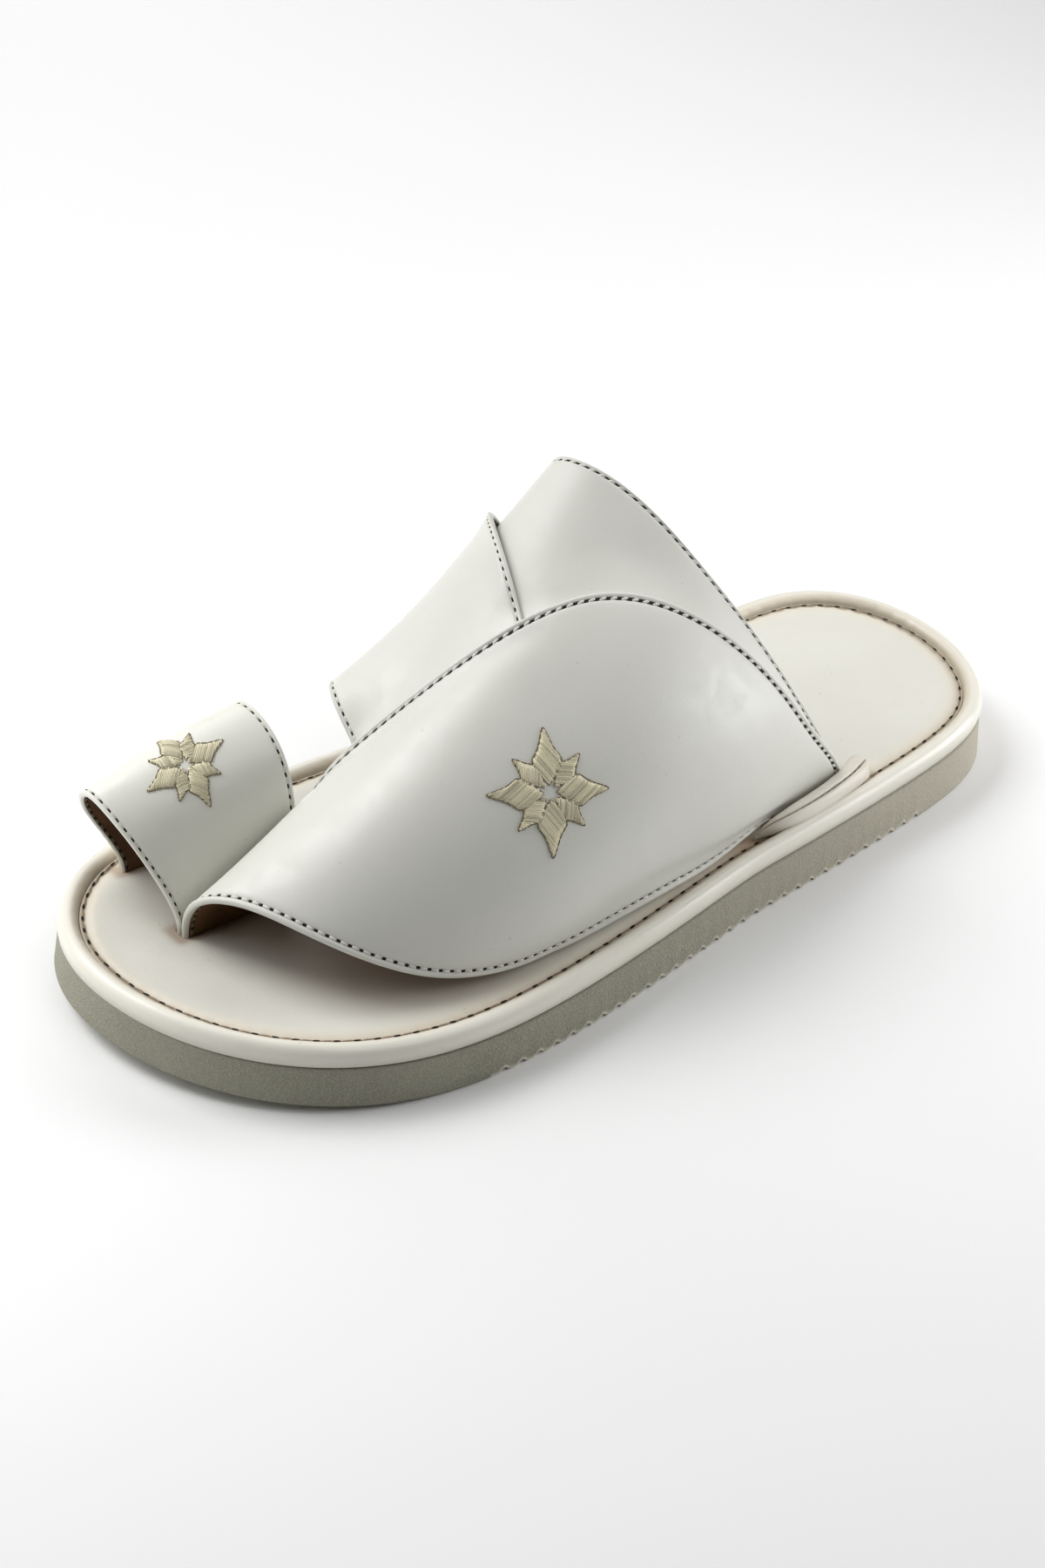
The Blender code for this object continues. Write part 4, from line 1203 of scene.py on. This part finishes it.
def hatch(shape, angle, pitch):
    """Parallel strands that fill a shape: the two ends of each."""
    along = np.array([math.cos(math.radians(angle)), math.sin(math.radians(angle))])
    beside = np.array([-along[1], along[0]])
    levels, after = shape @ beside, np.roll(shape, -1, axis=0)
    sides = list(zip(levels, np.roll(levels, -1), shape, after))
    for place in np.arange(levels.min() + pitch / 2, levels.max(), pitch):
        hits = sorted(
            (start + (end - start) * ((place - a) / (b - a))) @ along
            for a, b, start, end in sides if (a - place) * (b - place) < 0
        )
        for first, last in zip(hits[::2], hits[1::2]):
            if last - first > 0.5:
                yield along * first + beside * place, along * last + beside * place


class Patch:
    """A piece of a strap's outside around a centre, addressed in millimetres along and across."""

    def __init__(self, strap, place, share, reach):
        self.reach = reach
        steps = np.linspace(-reach, reach, PATCH_COUNT)
        width = strap.width([place])[0]
        middle = strap.grid(place + steps / strap.length, share + steps / width)
        normal = normals_of(middle)
        self.layers = middle + normal * 1.1, normal
        half = PATCH_COUNT // 2
        ahead = middle[half + 1, half] - middle[half - 1, half]
        side = middle[half, half + 1] - middle[half, half - 1]
        lengths = np.array([np.linalg.norm(ahead), np.linalg.norm(side)])
        self.stretch = 4 * reach / (PATCH_COUNT - 1) / lengths
        self.slant = float(ahead @ side / lengths[0] / lengths[1])

    def at(self, spots):
        """Points and normals at the spots; the ribs of a strap cross its path aslant."""
        square = math.sqrt(1 - self.slant ** 2)
        x, y = spots.T
        spots = np.stack([x - y * self.slant / square, y / square], axis=1) * self.stretch
        place = (spots / self.reach + 1) / 2 * (PATCH_COUNT - 1)
        i, j = np.clip(place.astype(int), 0, PATCH_COUNT - 2).T
        s, t = (place - np.stack([i, j], axis=1)).T[:, :, None]
        return [
            (grid[i, j] * (1 - s) + grid[i + 1, j] * s) * (1 - t)
            + (grid[i, j + 1] * (1 - s) + grid[i + 1, j + 1] * s) * t
            for grid in self.layers
        ]

    def strand(self, spots, rise):
        """A strand over the spots: its points, lifted off the leather, and their normals."""
        point, normal = self.at(spots)
        return point + normal * np.reshape(rise, (-1, 1)), normal


def embroider(name, patch, scale):
    """Eight-pointed star in satin stitch, each point edged with a dark backstitch."""
    satin, edging, underlay = [], [], []
    rng = np.random.RandomState(5)
    for first, reach, waist, half, angle in STAR:
        for turn in first + np.arange(0, 360, 90):
            shape = kite(turn, reach, waist, half) * scale
            for a, b in hatch(shape * 0.985, angle + turn, SATIN_PITCH):
                long = np.linalg.norm(b - a)
                t = np.linspace(0, 1, max(5, int(long / 1.1)))
                full = np.minimum(1, np.sin(math.pi * t) * 2.2 + 0.05) * min(1, long / 3 + 0.4)
                rise = 0.02 + 0.36 * full + rng.normal(0, 0.015)
                satin.append(patch.strand(a + (b - a) * t[:, None], rise))
            for a, b in hatch(shape * 0.94, angle + turn, SATIN_PITCH * 2.2):
                underlay.append(patch.strand(a + (b - a) * np.linspace(0, 1, 6)[:, None], 0.16))
            closed = np.vstack([shape, shape[:1]])
            run = run_along(closed)
            count = int(run[-1] / OUTLINE_PITCH)
            for k in range(count):
                ends = (np.array([0.06, 0.35, 0.65, 0.94]) + k) * run[-1] / count
                edging.append(patch.strand(at_run(closed, run, ends) * 1.01, [0.08, 0.2, 0.2, 0.08]))
    shades = rng.uniform(0, 1, len(satin)) ** 2
    soil = np.concatenate([np.full(6 * len(line), shade) for (line, _), shade in zip(satin, shades)])
    piece(f"embroidery_{name}", *strand_mesh(satin, 0.44, 0.26), GOLD, "embroidery_thread", soil=soil)
    piece(f"embroidery_underlay_{name}", *strand_mesh(underlay, 0.95, 0.2), GOLD, "embroidery_thread")
    piece(f"embroidery_edge_{name}", *strand_mesh(edging, 0.26, 0.28), OUTLINE_THREAD, "embroidery_thread")


# ---------------------------------------------------------------- stage

def make_camera():
    data = bpy.data.cameras.new("camera")
    data.sensor_fit = "HORIZONTAL"
    data.sensor_width = 36.0
    data.lens = 101.96
    data.clip_start = 0.01
    camera = add_object("camera", data)
    view = Vector((-0.55854, -0.56838, -0.60413)).to_track_quat("-Z", "Y").to_matrix().to_4x4()
    place = Matrix.Translation((0.4521, 0.4465, 0.5025))
    camera.matrix_world = place @ view @ Matrix.Rotation(math.radians(4.16), 4, "Z")
    bpy.context.scene.camera = camera


def make_lights():
    for name, place, aim, size, power in LIGHTS:
        data = bpy.data.lights.new(name, "AREA")
        data.shape = "RECTANGLE"
        data.size = data.size_y = size
        data.energy = power
        item = add_object(name, data)
        item.location = place
        item.rotation_euler = (Vector(aim) - Vector(place)).to_track_quat("-Z", "Y").to_euler()


def make_stage():
    """White floor and faint even light."""
    mesh = bpy.data.meshes.new("floor")
    far = 6.0
    mesh.from_pydata([(-far, -far, 0), (far, -far, 0), (far, far, 0), (-far, far, 0)], [], [(0, 1, 2, 3)])
    paper = Nodes("pale_floor", 0.8, 0.2)
    paper.colour(paper.mix(paper.noise(0.004), (0.93, 0.93, 0.93), (0.95, 0.95, 0.95)))
    mesh.materials.append(paper.material)
    add_object("floor", mesh)
    world = bpy.data.worlds.new("studio")
    world.use_nodes = True
    background = world.node_tree.nodes["Background"].inputs
    background["Color"].default_value = (1.0, 1.0, 1.0, 1.0)
    background["Strength"].default_value = 0.05
    scene = bpy.context.scene
    scene.world = world
    scene.view_settings.view_transform = "Standard"
    scene.view_settings.look = "Medium High Contrast"


make_camera()
make_stage()
make_lights()
make_outsole()
make_rim()
make_footbed()
make_sole_stitches()
GRIDS = strap_grids()
VAMP = make_strap("vamp", GRIDS["vamp"], 34, 0.7, ("upper",))
make_strap("instep", GRIDS["instep"], 22, 0.75)
make_strap("medial", GRIDS["medial"], 22, 0.75)
RING = make_strap("ring", GRIDS["ring"], 22, 0.6)
make_lateral_keeper()
make_medial_keeper()
embroider("vamp", Patch(VAMP, 0.505, 0.528, 22.0), 1.0)
embroider("ring", Patch(RING, 0.458, 0.507, 16.0), 0.72)
